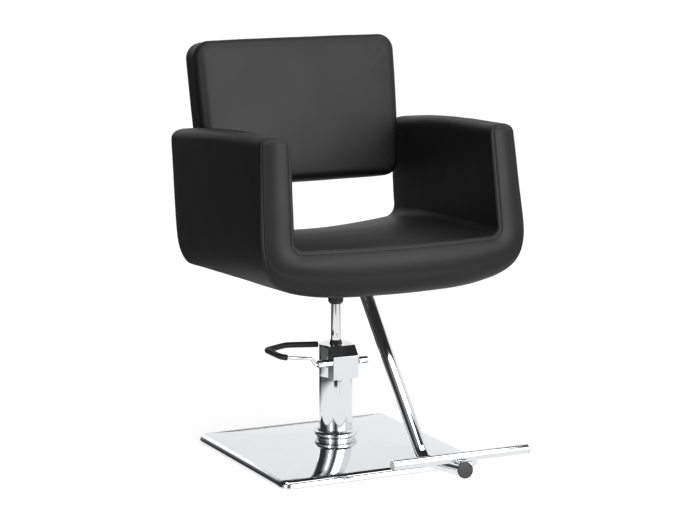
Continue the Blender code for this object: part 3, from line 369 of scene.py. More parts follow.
class FinishColours(bpy.types.PropertyGroup):
    """Colours of the finishes."""

    vinyl: colour_setting("Vinyl", "Seat, arms and back pad", "#0A0A0B")
    thread: colour_setting("Thread", "Sewing thread", "#1B1B1C")
    chrome: colour_setting("Chrome", "Plated base, column, lever and footrest", "#E6E7E9")
    rubber: colour_setting("Rubber", "Lever grip and rod seal", "#121212")
    enamel: colour_setting("Enamel", "Socket, mount plate and flange", "#0D0D0E")
    cap: colour_setting("Post cap", "Plastic cap on the footrest post", "#2B2B2D")
    plug: colour_setting("Bar plugs", "Plastic plugs in the footrest bar", "#D2D2D0")


class StageSettings(bpy.types.PropertyGroup):
    """Camera and light."""

    camera_place: place_setting("Camera", "Where the camera stands", (-2.517, -5.205, 1.509))
    camera_aim: place_setting("Aim", "Point that the camera looks at", (0.039, 0.0, 0.476))
    lens: bpy.props.FloatProperty(
        name="Lens",
        description="Focal length in millimetres on a 36 mm wide sensor",
        default=123.43,
        min=1.0,
    )
    key_power: power_setting("Key light", "Power of the large soft light at the front right", 112.0)
    strip_power: power_setting("Strip light", "Power of the narrow light at the front left", 20.0)
    top_power: power_setting("Top light", "Power of the soft light overhead", 62.0)
    edge_power: power_setting(
        "Edge light", "Power of the small light behind, which edges the base", 1.7
    )
    ambient: bpy.props.FloatProperty(
        name="Ambient",
        description="Level of the room's light on matt surfaces",
        default=0.10,
        min=0.0,
    )


# Grids and meshes


def unit(vector):
    """Vector of length 1 in the same direction."""
    return vector / np.linalg.norm(vector)


def positions(mesh):
    """Every vertex of a mesh as one array of points."""
    places = np.empty(len(mesh.vertices) * 3, np.float32)
    mesh.vertices.foreach_get("co", places)
    return places.reshape(-1, 3).astype(float)


def normals_of(mesh):
    """Every vertex normal of a mesh as one array."""
    normals = np.empty(len(mesh.vertices) * 3, np.float32)
    mesh.vertices.foreach_get("normal", normals)
    return normals.reshape(-1, 3).astype(float)


def edge_ends(mesh):
    """Both vertex numbers of every edge of a mesh as one array."""
    ends = np.empty(len(mesh.edges) * 2, np.int32)
    mesh.edges.foreach_get("vertices", ends)
    return ends.reshape(-1, 2)


def move_to(mesh, places):
    """Puts every vertex of a mesh at its row of an array."""
    mesh.vertices.foreach_set("co", places.astype(np.float32).ravel())
    mesh.update()


def surface(name, points, ring=False):
    """Closed mesh of a grid of points: quads join neighbours, and columns close round.

    Rows close round too where ring is set. Points that fall together, as at a pole, become one, and
    every face is turned outwards. The grid's own numbers stay on the vertices as the attribute
    "grid".
    """
    rows, columns = points.shape[:2]
    index = np.arange(rows * columns).reshape(rows, columns)
    index = np.concatenate([index, index[:, :1]], axis=1)
    if ring:
        index = np.concatenate([index, index[:1]], axis=0)
    corners = [index[:-1, :-1], index[:-1, 1:], index[1:, 1:], index[1:, :-1]]
    quads = np.stack(corners, axis=-1).reshape(-1, 4)
    mesh = bpy.data.meshes.new(name)
    mesh.from_pydata(points.reshape(-1, 3).tolist(), [], quads.tolist())
    numbers = mesh.attributes.new("grid", "INT", "POINT")
    numbers.data.foreach_set("value", np.arange(rows * columns, dtype=np.int32))
    shape = bmesh.new()
    shape.from_mesh(mesh)
    bmesh.ops.remove_doubles(shape, verts=shape.verts, dist=MERGE)
    bmesh.ops.recalc_face_normals(shape, faces=shape.faces)
    shape.to_mesh(mesh)
    shape.free()
    return mesh


def stood(points, origin, axis):
    """Carries points made about +Z to an axis through an origin.

    x and y go to two directions square to the axis and to each other.
    """
    along = unit(np.asarray(axis, float))
    helper = UP if abs(along[2]) < STEEP else RIGHT
    across = unit(np.cross(helper, along))
    frame_rows = np.stack([across, np.cross(along, across), along])
    return points @ frame_rows + np.asarray(origin, float)


def turned(profile, steps=TURN_STEPS, origin=(0.0, 0.0, 0.0), axis=UP):
    """Grid of a surface of revolution: (radius, height) rows carried round the axis in steps."""
    profile = np.asarray(profile, float)
    angles = np.arange(steps) * math.tau / steps
    radius = profile[:, :1]
    height = np.broadcast_to(profile[:, 1:], (len(profile), steps))
    points = np.stack([radius * np.cos(angles), radius * np.sin(angles), height], axis=-1)
    return stood(points, origin, axis)


def eased(corners, radii, steps=EDGE_STEPS):
    """Line through corners, in 2 or 3 dimensions, with an arc in place of each inner corner.

    An arc touches both sides. Its middle lies on the corner's bisector at radius / sin(half angle),
    and its points turn evenly from one touching point to the other.
    """
    corners = np.asarray(corners, float)
    radii = np.broadcast_to(radii, len(corners) - 2)
    share = np.linspace(0.0, 1.0, steps + 1)[:, None]
    line = [corners[:1]]
    for before, corner, after, radius in zip(corners, corners[1:], corners[2:], radii):
        back = unit(before - corner)
        ahead = unit(after - corner)
        half = math.acos(np.clip(back @ ahead, -1.0, 1.0)) / 2
        middle = corner + unit(back + ahead) * radius / math.sin(half)
        start = corner + back * radius / math.tan(half) - middle
        end = corner + ahead * radius / math.tan(half) - middle
        sweep = math.pi - 2 * half
        spread = np.sin((1 - share) * sweep) * start + np.sin(share * sweep) * end
        line.append(middle + spread / math.sin(sweep))
    line.append(corners[-1:])
    return np.concatenate(line)


def tube_wall(inner, outer, low, high, edge):
    """Outline of a tube's wall with its edges rounded, from half-way up the inside and back."""
    start = (inner, (low + high) / 2)
    corners = [start, (inner, low), (outer, low), (outer, high), (inner, high), start]
    return eased(corners, edge)[:-1]


def stepped(radius, inner, top, base, end, rounds):
    """Outline of a round piece: over its top, down to its base and along a spigot or bore."""
    corners = [
        (0.0, top),
        (radius, top),
        (radius, base),
        (inner, base),
        (inner, end),
        (0.0, end),
    ]
    return eased(corners, rounds)


def swept(path, radius, side, steps=TUBE_STEPS):
    """Grid of a round tube: circles square to the path, each turned from one fixed side direction.

    The tangent is the central difference of the path. The circle's first direction is the side
    direction less its share along the tangent, and its second is square to both.
    """
    path = np.asarray(path, float)
    side = np.asarray(side, float)
    tangent = np.gradient(path, axis=0)
    tangent /= np.linalg.norm(tangent, axis=1, keepdims=True)
    first = side - (tangent @ side)[:, None] * tangent
    first /= np.linalg.norm(first, axis=1, keepdims=True)
    second = np.cross(tangent, first)
    angles = (np.arange(steps) * math.tau / steps)[None, :, None]
    circle = np.cos(angles) * first[:, None] + np.sin(angles) * second[:, None]
    return path[:, None] + circle * np.broadcast_to(radius, len(path))[:, None, None]


def add_piece(name, mesh, material, node):
    """Links a mesh as a piece that stands for a solid and rides on its body."""
    mesh.materials.append(material)
    mesh.shade_smooth()
    mesh.set_sharp_from_angle(angle=SMOOTH_ANGLE)
    obj = bpy.data.objects.new(name, mesh)
    bpy.context.scene.collection.objects.link(obj)
    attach(obj, frame["nodes"][node]["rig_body"])
    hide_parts(node)
    return obj


def form_piece(node, way, points, material, ring=False):
    """Piece made from a grid of points, named for its solid and for the way it is made."""
    name = f"{node}_{way}"
    return add_piece(name, surface(name, points, ring), material, node)


def eased_copy(node, material, width):
    """Piece made from a plate-like solid: flat faces merged, and sharp edges rounded by a bevel."""
    mesh = frame["nodes"][node].data.copy()
    mesh.materials.clear()
    shape = bmesh.new()
    shape.from_mesh(mesh)
    bmesh.ops.remove_doubles(shape, verts=shape.verts, dist=10 * MERGE)
    bmesh.ops.dissolve_limit(
        shape, angle_limit=FLAT_ANGLE, verts=shape.verts, edges=shape.edges
    )
    shape.to_mesh(mesh)
    shape.free()
    obj = add_piece(node + "_finished", mesh, material, node)
    bevel = obj.modifiers.new("eased edges", "BEVEL")
    bevel.width = width
    bevel.segments = BEVEL_STEPS
    bevel.limit_method = "ANGLE"
    bevel.angle_limit = SMOOTH_ANGLE
    bevel.harden_normals = True


def finish_nodes(material, *nodes):
    """Gives solids that stay as they are a finish."""
    for node in nodes:
        slots = frame["nodes"][node].data.materials
        slots.clear()
        slots.append(material)


# Materials


def wire(tree, node, inputs):
    """Sets each socket of a node to a value, or links it where it is given a node's output."""
    for socket, value in inputs.items():
        if isinstance(value, bpy.types.NodeSocket):
            tree.links.new(value, node.inputs[socket])
        else:
            node.inputs[socket].default_value = value


def add(tree, kind, inputs=None, **settings):
    """Adds one node with its settings, and sets or links its sockets."""
    node = tree.nodes.new(kind)
    for name, value in settings.items():
        setattr(node, name, value)
    wire(tree, node, inputs or {})
    return node


def per_metre(millimetres):
    """Texture scale whose features are about so many millimetres, on coordinates in metres."""
    return 1000.0 / millimetres


def new_material(name):
    """Node material with its shader and the piece's own coordinates."""
    material = bpy.data.materials.new(name)
    material.use_nodes = True
    tree = material.node_tree
    place = add(tree, "ShaderNodeTexCoord").outputs["Object"]
    return material, tree, tree.nodes["Principled BSDF"], place


def shade(colour, factor):
    """Colour made lighter or darker by a factor, as a socket takes it."""
    return (*(min(1.0, channel * factor) for channel in colour), 1.0)


def patchy(tree, patches, colour, factors, levels):
    """Colour and roughness that follow a pattern, between two factors and between two levels."""
    dark, pale = (shade(colour, factor) for factor in factors)
    tone = add(tree, "ShaderNodeMix", {0: patches, 6: dark, 7: pale}, data_type="RGBA")
    smooth, rough = levels
    gloss = add(tree, "ShaderNodeMapRange", {"Value": patches, "To Min": smooth, "To Max": rough})
    return {"Base Color": tone.outputs[2], "Roughness": gloss.outputs[0]}


def pvc_leathercloth(colour):
    """Calendered PVC on a knitted backing with a fine pebble grain: satin, with broad highlights.

    The grain of about 1 mm is drawn at 2.6 mm so that it shows. Stretch over foam gives slow waves
    of about 60 mm, and handling polishes it in patches. Along a seam, where the cover turns in, a
    line about a millimetre wide is painted nearly black as the shade in the crease, and made
    rougher.
    """
    _, tree, shader, place = new_material("pvc_leathercloth")
    grain = add(
        tree,
        "ShaderNodeTexVoronoi",
        {"Vector": place, "Scale": per_metre(2.6), "Randomness": 0.9},
    )
    waves = add(
        tree, "ShaderNodeTexNoise", {"Vector": place, "Scale": per_metre(60.0), "Detail": 1.5}
    )
    patches = add(
        tree, "ShaderNodeTexNoise", {"Vector": place, "Scale": per_metre(110.0), "Detail": 3.0}
    )
    seam = add(tree, "ShaderNodeAttribute", attribute_name="seam")
    line = add(tree, "ShaderNodeMath", {0: seam.outputs["Fac"], 1: 5.0}, operation="POWER")
    look = patchy(tree, patches.outputs["Fac"], colour, (0.85, 1.2), (0.47, 0.57))
    # Painted shade: along the seams the colour goes nearly black, as in the shade of a crease
    dark = add(
        tree,
        "ShaderNodeMix",
        {0: line.outputs[0], 6: look["Base Color"], 7: shade(colour, 0.15)},
        data_type="RGBA",
    )
    dull = add(
        tree,
        "ShaderNodeMath",
        {0: line.outputs[0], 1: 0.40, 2: look["Roughness"]},
        operation="MULTIPLY_ADD",
    )
    low = add(
        tree,
        "ShaderNodeBump",
        {"Height": waves.outputs["Fac"], "Strength": 0.35, "Distance": 0.0012},
    )
    fine = add(
        tree,
        "ShaderNodeBump",
        {
            "Height": grain.outputs["Distance"],
            "Strength": 0.10,
            "Distance": 0.0005,
            "Normal": low.outputs["Normal"],
        },
    )
    wire(
        tree,
        shader,
        {
            "Base Color": dark.outputs[2],
            "Roughness": dull.outputs[0],
            "Normal": fine.outputs["Normal"],
            "IOR": 1.5,
            "Specular IOR Level": 0.36,
        },
    )


def polyester_thread(colour):
    """Bonded polyester thread: satin, with the twist of its plies drawn every 1.2 mm."""
    _, tree, shader, place = new_material("polyester_thread")
    twist = add(
        tree,
        "ShaderNodeTexWave",
        {"Vector": place, "Scale": per_metre(1.2) / math.tau, "Distortion": 2.0},
        bands_direction="DIAGONAL",
    )
    tone = add(
        tree,
        "ShaderNodeMix",
        {0: twist.outputs["Fac"], 6: shade(colour, 0.6), 7: shade(colour, 1.3)},
        data_type="RGBA",
    )
    bump = add(
        tree,
        "ShaderNodeBump",
        {"Height": twist.outputs["Fac"], "Strength": 0.4, "Distance": 0.0002},
    )
    wire(
        tree,
        shader,
        {
            "Base Color": tone.outputs[2],
            "Normal": bump.outputs["Normal"],
            "Roughness": 0.5,
            "IOR": 1.55,
        },
    )


def coated(name, colour, patches, factors, levels, relief, bump, fixed, stretch=None):
    """Finish whose tone and gloss vary in patches, over a fine relief.

    patches and relief are the settings of a noise, bump is the relief's strength and height, and
    fixed holds the shader's constants. The relief's coordinates may be stretched.
    """
    material, tree, shader, place = new_material(name)
    spots = add(tree, "ShaderNodeTexNoise", {"Vector": place, **patches})
    look = patchy(tree, spots.outputs["Fac"], colour, factors, levels)
    if stretch:
        place = add(tree, "ShaderNodeMapping", {"Vector": place, "Scale": stretch}).outputs[0]
    height = add(tree, "ShaderNodeTexNoise", {"Vector": place, **relief}).outputs["Fac"]
    skin = add(tree, "ShaderNodeBump", {"Height": height, **bump})
    wire(tree, shader, {**look, **fixed, "Normal": skin.outputs["Normal"]})
    return material


def chromium_plate(name, colour, wave_mm, wave_height):
    """Bright chromium on nickel over steel: a near mirror, with slow waves from its working.

    Faint smears of handling take the gloss down a little in patches of about 40 mm.
    """
    return coated(
        name,
        colour,
        patches={"Scale": per_metre(40.0), "Detail": 4.0, "Roughness": 0.6},
        factors=(0.97, 1.03),
        levels=(0.025, 0.075),
        relief={"Scale": per_metre(wave_mm), "Detail": 0.0},
        bump={"Strength": 0.5, "Distance": wave_height},
        fixed={"Metallic": 1.0},
    )


def moulded(name, colour, roughness, grain_mm, grain_height, ior):
    """Moulded rubber or plastic: the mould's eroded skin gives a fine grain and a broken gloss."""
    return coated(
        name,
        colour,
        patches={"Scale": per_metre(14.0), "Detail": 2.0},
        factors=(0.85, 1.15),
        levels=(roughness - 0.06, roughness + 0.06),
        relief={"Scale": per_metre(grain_mm), "Detail": 3.0},
        bump={"Strength": 0.5, "Distance": grain_height},
        fixed={"IOR": ior},
    )


def stoved_enamel(colour):
    """Black stoving enamel on steel: glossy, with a sprayed coat's orange peel of about 3 mm."""
    return coated(
        "stoved_enamel",
        colour,
        patches={"Scale": per_metre(25.0), "Detail": 4.0},
        factors=(0.9, 1.4),
        levels=(0.24, 0.40),
        relief={"Scale": per_metre(3.0), "Detail": 1.0},
        bump={"Strength": 0.25, "Distance": 0.0004},
        fixed={"IOR": 1.5},
    )


def worked_metal(name, code, roughness, mark_mm):
    """Uncoated or dull-plated metal: mottled, with marks that are finer across than along."""
    return coated(
        name,
        linear(code),
        patches={"Scale": per_metre(18.0), "Detail": 5.0},
        factors=(0.8, 1.15),
        levels=(roughness - 0.1, roughness + 0.1),
        relief={"Scale": per_metre(MARK_STRETCH * mark_mm), "Detail": 2.0},
        bump={"Strength": 0.3, "Distance": 0.0002},
        fixed={"Metallic": 1.0},
        stretch=(1.0, 1.0, MARK_STRETCH),
    )


def stained_plywood():
    """Birch plywood stained black: faint streaks, and plies of 1.5 mm in turn on the edge."""
    material, tree, shader, place = new_material("black_stained_plywood")
    stretch = add(tree, "ShaderNodeMapping", {"Vector": place, "Scale": (12.0, 1.0, 1.0)})
    streaks = add(
        tree,
        "ShaderNodeTexNoise",
        {
            "Vector": stretch.outputs[0],
            "Scale": per_metre(60.0),
            "Detail": 5.0,
            "Distortion": 0.4,
        },
    )
    plies = add(
        tree,
        "ShaderNodeTexWave",
        {"Vector": place, "Scale": per_metre(3.0) / math.tau},
        bands_direction="Z",
    )
    dark, pale, ply = (shade(linear(code), 1.0) for code in ("#151413", "#25221F", "#1C1A18"))
    wood = add(
        tree, "ShaderNodeMix", {0: streaks.outputs["Fac"], 6: dark, 7: pale}, data_type="RGBA"
    )
    tone = add(
        tree,
        "ShaderNodeMix",
        {0: plies.outputs["Fac"], 6: wood.outputs[2], 7: ply},
        data_type="RGBA",
    )
    bump = add(
        tree,
        "ShaderNodeBump",
        {"Height": streaks.outputs["Fac"], "Strength": 0.3, "Distance": 0.0004},
    )
    wire(
        tree,
        shader,
        {"Base Color": tone.outputs[2], "Roughness": 0.65, "Normal": bump.outputs["Normal"]},
    )
    return material


# Floor as mirrors see it: two pale pools, shade behind the column, a painted dark sector towards
# the camera
POOL_MIDDLE = (0.0, -1.0, 0.0)
POOL_PALE = 1.55
POOL_DARK = 2.10
POOL_FAR_LEVEL = 0.12
REAR_POOL_MIDDLE = (1.9, 2.9, 0.0)
REAR_POOL_PALE = 1.9
REAR_POOL_DARK = 2.6
SHADE_MIDDLE = (-0.1, 1.2, 0.0)
SHADE_DARK = 0.40
SHADE_PALE = 0.85
SHADE_LEVEL = 0.15
# The dark sector is painted: it points from the column to the camera, so mirrors show a dark
# reflection there
SECTOR_TURN = 0.178  # share of a turn from -X through -Y
SECTOR_WIDTH = 0.045
SECTOR_START = 1.6
SECTOR_BLEND = 0.1
PAINTED_SECTOR_LEVEL = 0.03

# Floor as the camera sees it: a glow that grows full with distance, over a grey that takes shadow
GLOW_START = 0.6
GLOW_FULL = 2.2
GLOW_NEAR_LEVEL = 0.86
SHADOW_GREY = 0.30

# Floor to all other light
PAPER_GREY = 0.5

WHITE = (1.0, 1.0, 1.0)
BASE_MIDDLE = (0.0, 0.0, 0.0)


def by_ray(tree, matt, mirrored, seen):
    """Shader with one look for the camera, one for mirrors and glass, and one for other light."""
    rays = add(tree, "ShaderNodeLightPath").outputs
    sharp = add(
        tree,
        "ShaderNodeMath",
        {0: rays["Is Glossy Ray"], 1: rays["Is Transmission Ray"]},
        operation="MAXIMUM",
    )
    unseen = add(tree, "ShaderNodeMixShader", {0: sharp.outputs[0], 1: matt, 2: mirrored})
    both = add(
        tree, "ShaderNodeMixShader", {0: rays["Is Camera Ray"], 1: unseen.outputs[0], 2: seen}
    )
    return both.outputs[0]


def by_distance(tree, place, middle, start, end, near, far):
    """Level that goes from near to far between two distances from a point."""
    reach = add(tree, "ShaderNodeVectorMath", {0: place, 1: middle}, operation="DISTANCE")
    level = add(
        tree,
        "ShaderNodeMapRange",
        {
            "Value": reach.outputs["Value"],
            "From Min": start,
            "From Max": end,
            "To Min": near,
            "To Max": far,
        },
    )
    return level.outputs[0]


def studio_paper():
    """Pale seamless paper, which the camera sees as white with the chair's shadow.

    The white grows with the distance from the column. Mirrors see the paper pale round a point in
    front of the chair and round one at its rear right, and dark further off, as under pools of
    light. It is shaded behind the column, and painted dark in a sector at the front left that
    points to the camera, so that mirrors show a dark reflection there.
    """
    material = bpy.data.materials.new("studio_paper")
    material.use_nodes = True
    tree = material.node_tree
    tree.nodes.clear()
    place = add(tree, "ShaderNodeTexCoord").outputs["Object"]
    front = by_distance(tree, place, POOL_MIDDLE, POOL_PALE, POOL_DARK, 1.0, POOL_FAR_LEVEL)
    rear = by_distance(tree, place, REAR_POOL_MIDDLE, REAR_POOL_PALE, REAR_POOL_DARK, 1.0, 0.0)
    shaded = by_distance(tree, place, SHADE_MIDDLE, SHADE_DARK, SHADE_PALE, SHADE_LEVEL, 1.0)
    sector_full = SECTOR_START + SECTOR_BLEND
    beyond = by_distance(tree, place, BASE_MIDDLE, SECTOR_START, sector_full, 0.0, 1.0)
    glow = by_distance(tree, place, BASE_MIDDLE, GLOW_START, GLOW_FULL, GLOW_NEAR_LEVEL, 1.0)
    lit = add(tree, "ShaderNodeMath", {0: front, 1: rear}, operation="MAXIMUM")
    pool = add(tree, "ShaderNodeMath", {0: lit.outputs[0], 1: shaded}, operation="MULTIPLY")
    # Painted dark reflection: the sector towards the camera, beyond the chair, is set dark for
    # mirrors
    turn = add(tree, "ShaderNodeTexGradient", {"Vector": place}, gradient_type="RADIAL")
    aside = add(
        tree, "ShaderNodeMath", {0: turn.outputs["Fac"], 1: SECTOR_TURN}, operation="SUBTRACT"
    )
    aside = add(tree, "ShaderNodeMath", {0: aside.outputs[0]}, operation="ABSOLUTE")
    within = add(
        tree,
        "ShaderNodeMapRange",
        {
            "Value": aside.outputs[0],
            "From Min": SECTOR_WIDTH / 2,
            "From Max": SECTOR_WIDTH,
            "To Min": 1.0,
            "To Max": 0.0,
        },
    )
    sector = add(tree, "ShaderNodeMath", {0: within.outputs[0], 1: beyond}, operation="MULTIPLY")
    level = add(tree, "ShaderNodeMix", {0: sector.outputs[0], 2: pool.outputs[0], 3: PAINTED_SECTOR_LEVEL})
    paper = add(tree, "ShaderNodeBsdfDiffuse", {"Color": shade(WHITE, PAPER_GREY)})
    mirrored = add(tree, "ShaderNodeEmission", {"Strength": level.outputs[0]})
    shadow = add(tree, "ShaderNodeBsdfDiffuse", {"Color": shade(WHITE, SHADOW_GREY)})
    white = add(tree, "ShaderNodeEmission", {"Strength": glow})
    seen = add(tree, "ShaderNodeAddShader", {0: shadow.outputs[0], 1: white.outputs[0]})
    both = by_ray(tree, paper.outputs[0], mirrored.outputs[0], seen.outputs[0])
    add(tree, "ShaderNodeOutputMaterial", {"Surface": both})
    return material


# Stage

# Brightness of the room in mirrors, by the share of a turn from -X through -Y, +X and +Y back to -X
ROOM_LEVELS = (
    (0.00, 0.2),
    (0.06, 0.9),
    (0.11, 0.9),
    (0.145, 0.35),
    (0.165, 0.06),
    (0.19, 0.06),
    (0.21, 0.6),
    (0.27, 1.0),
    (0.45, 1.0),
    (0.62, 0.95),
    (0.74, 0.95),
    (0.785, 0.35),
    (0.82, 0.04),
    (0.97, 0.04),
    (1.00, 0.2),
)

# Upright share of a direction between which the room's bands give way to its dark ceiling
CEILING_START = 0.55
CEILING_FULL = 0.78
CEILING_LEVEL = 0.03

# Soft lights, by name: place, point that the light is turned to, and size
CHAIR_MIDDLE = (0.0, 0.0, 0.6)
SOFT_LIGHTS = {
    "key": ((0.9, -3.3, 1.6), CHAIR_MIDDLE, (3.0, 2.6)),
    "strip": ((-2.6, -1.5, 1.2), CHAIR_MIDDLE, (0.5, 1.8)),
    "edge": ((-0.4, 3.0, 1.35), BASE_MIDDLE, (1.2, 0.5)),
    "top": ((0.1, -0.6, 3.0), CHAIR_MIDDLE, (3.8, 2.0)),
}

FLOOR_REACH = 40.0
SENSOR_WIDTH = 36.0  # in millimetres


def studio_world(ambient):
    """Room round the chair: white to the camera, banded to mirrors, low and even to the rest."""
    world = bpy.data.worlds.new("studio")
    world.use_nodes = True
    tree = world.node_tree
    tree.nodes.clear()
    direction = add(tree, "ShaderNodeTexCoord").outputs["Generated"]
    turn = add(tree, "ShaderNodeTexGradient", {"Vector": direction}, gradient_type="RADIAL")
    bands = add(tree, "ShaderNodeValToRGB", {"Fac": turn.outputs["Fac"]})
    stops = bands.color_ramp.elements
    for place, _ in ROOM_LEVELS[1:-1]:
        stops.new(place)
    for stop, (place, level) in zip(stops, ROOM_LEVELS):
        stop.position = place
        stop.color = shade(WHITE, level)
    axes = add(tree, "ShaderNodeSeparateXYZ", {0: direction})
    climb = add(
        tree,
        "ShaderNodeMapRange",
        {"Value": axes.outputs["Z"], "From Min": CEILING_START, "From Max": CEILING_FULL},
    )
    room = add(
        tree,
        "ShaderNodeMix",
        {0: climb.outputs[0], 6: bands.outputs["Color"], 7: shade(WHITE, CEILING_LEVEL)},
        data_type="RGBA",
    )
    matt = add(tree, "ShaderNodeBackground", {"Strength": ambient})
    mirrored = add(tree, "ShaderNodeBackground", {"Color": room.outputs[2], "Strength": 1.0})
    white = add(tree, "ShaderNodeBackground", {"Color": shade(WHITE, 1.0), "Strength": 1.0})
    both = by_ray(tree, matt.outputs[0], mirrored.outputs[0], white.outputs[0])
    add(tree, "ShaderNodeOutputWorld", {"Surface": both})
    bpy.context.scene.world = world


def stand_facing(obj, place, aim):
    """Links a camera or light into the scene at a place, turned to a point."""
    obj.location = place
    obj.rotation_euler = (Vector(aim) - Vector(place)).to_track_quat("-Z", "Y").to_euler()
    bpy.context.scene.collection.objects.link(obj)


def soft_light(name, place, aim, size, power):
    """Rectangular soft light at a place, turned to a point."""
    light = bpy.data.lights.new(name, "AREA")
    light.shape = "RECTANGLE"
    light.size, light.size_y = size
    light.energy = power
    stand_facing(bpy.data.objects.new(name, light), place, aim)


class CHAIR_OT_set_stage(bpy.types.Operator):
    """Makes the camera, the floor, the room and the lights"""

    bl_idname = "chair.set_stage"
    bl_label = "Set stage"

    def execute(self, context):
        scene = context.scene
        stage = scene.chair_stage
        camera = bpy.data.cameras.new("camera")
        camera.sensor_width = SENSOR_WIDTH
        camera.lens = stage.lens
        viewer = bpy.data.objects.new("camera", camera)
        stand_facing(viewer, stage.camera_place, stage.camera_aim)
        scene.camera = viewer
        scene.view_settings.view_transform = "Standard"
        self.lay_floor(scene)
        studio_world(stage.ambient)
        for name, (place, aim, size) in SOFT_LIGHTS.items():
            soft_light(f"{name}_light", place, aim, size, getattr(stage, f"{name}_power"))
        return {"FINISHED"}

    def lay_floor(self, scene):
        """One large square of paper under the chair."""
        corners = [(-1.0, -1.0, 0.0), (1.0, -1.0, 0.0), (1.0, 1.0, 0.0), (-1.0, 1.0, 0.0)]
        mesh = bpy.data.meshes.new("floor")
        mesh.from_pydata((FLOOR_REACH * np.array(corners)).tolist(), [], [(0, 1, 2, 3)])
        mesh.materials.append(studio_paper())
        floor = bpy.data.objects.new("floor", mesh)
        scene.collection.objects.link(floor)


# Base and column


def square_ring(half, corner, height, side_steps=24, corner_steps=10):
    """Points round a square with round corners: a side and its corner arc, turned four times.

    half, corner and height are columns, one row for each ring.
    """
    inner = half - corner
    along = np.linspace(-1.0, 1.0, side_steps, endpoint=False)[None]
    bend = np.linspace(0.0, math.pi / 2, corner_steps, endpoint=False)[None]
    side = np.broadcast_to(half, (len(half), side_steps))
    x = np.concatenate([side, inner + corner * np.cos(bend)], axis=1)
    y = np.concatenate([inner * along, inner + corner * np.sin(bend)], axis=1)
    ring_x = np.concatenate([x, -y, -x, y], axis=1)
    ring_y = np.concatenate([y, x, -y, -x], axis=1)
    return np.stack([ring_x, ring_y, np.broadcast_to(height, ring_x.shape)], axis=-1)


def dome_face(sheet):
    """Rings of the pressed base cover, one sheet thickness inside its outer face.

    From the middle hole to the rim each point runs straight out while its height falls with the
    square of the share run. The rim is rolled: the rest of a quarter ellipse carries on at the
    dome's slope and ends upright at the floor.
    """
    hole = SLEEVE_RADIUS + 2 * GAP
    half = BASE_SIDE / 2 - RIM_SLOPE - RIM_ROUND
    corner = BASE_CORNER - RIM_SLOPE - RIM_ROUND
    edge = square_ring(np.array([[half]]), np.array([[corner]]), np.array([[0.0]]))
    flat = edge[..., :2]
    start = flat / np.linalg.norm(flat, axis=-1, keepdims=True) * hole
    share = np.linspace(0.0, 1.0, DOME_ROWS)[:, None]
    spread = start + (flat - start) * share[..., None]
    height = RIM_HEIGHT + DOME_RISE * (1.0 - share**2) - sheet
    height = np.broadcast_to(height[..., None], (*spread.shape[:2], 1))
    dome = np.concatenate([spread, height], axis=-1)
    turn = np.linspace(RIM_START, math.pi / 2, RIM_STEPS + 1)[1:, None]
    run = (np.sin(turn) - math.sin(RIM_START)) / (1.0 - math.sin(RIM_START))
    reach = (RIM_SLOPE + RIM_ROUND - sheet) * run
    drop = (RIM_HEIGHT - sheet - SKIRT_LIFT) * np.cos(turn) / math.cos(RIM_START)
    rim = square_ring(half + reach, corner + reach, SKIRT_LIFT + drop)
    return np.concatenate([dome, rim])


class CHAIR_OT_plate_base(bpy.types.Operator):
    """Makes the pressed cover and the column's foot ring, and finishes the floor plate"""

    bl_idname = "chair.plate_base"
    bl_label = "Plate base"

    def execute(self, context):
        colours = context.scene.chair_colours
        sheet = chromium_plate("chromium_plated_sheet", colours.chrome, 160.0, 0.0006)
        bright = chromium_plate("chromium_plated_steel", colours.chrome, 35.0, 0.00004)
        faces = np.concatenate([dome_face(0.0), dome_face(COVER_SHEET)[::-1]])
        form_piece("base_cover", "pressed", faces, sheet, True)
        self.make_ring(bright)
        plate = worked_metal("hot_rolled_steel_plate", "#58595B", 0.55, 1.2)
        eased_copy("floor_plate", plate, SHEET_EDGE)
        zinc = worked_metal("zinc_plated_steel", "#A8ACB0", 0.34, 0.5)
        finish_nodes(zinc, *[f"base_bolt_{number}" for number in BOLT_NUMBERS])
        return {"FINISHED"}

    def make_ring(self, material):
        """Ring at the column's foot: most of half a circle between a plain foot and a neck."""
        inner = SLEEVE_RADIUS + GAP
        waist = inner + RING_BULGE / 2
        middle = inner + RING_BULGE - RING_ROUND
        low, high = ring_box[0].z, ring_box[1].z
        turn = np.radians(np.linspace(-RING_TURN, RING_TURN, RING_STEPS))
        out = middle + RING_ROUND * np.cos(turn)
        bulge = np.stack([out, (low + high) / 2 + RING_ROUND * np.sin(turn)], axis=-1)
        foot = [(inner, low), (waist, low), (waist, low + RIM_ROUND / 2)]
        neck = [(waist, high - RIM_ROUND), (inner + RING_BULGE / 4, high), (inner, high)]
        points = turned(np.concatenate([foot, bulge, neck]))
        form_piece("column_ring", "turned", points, material, True)


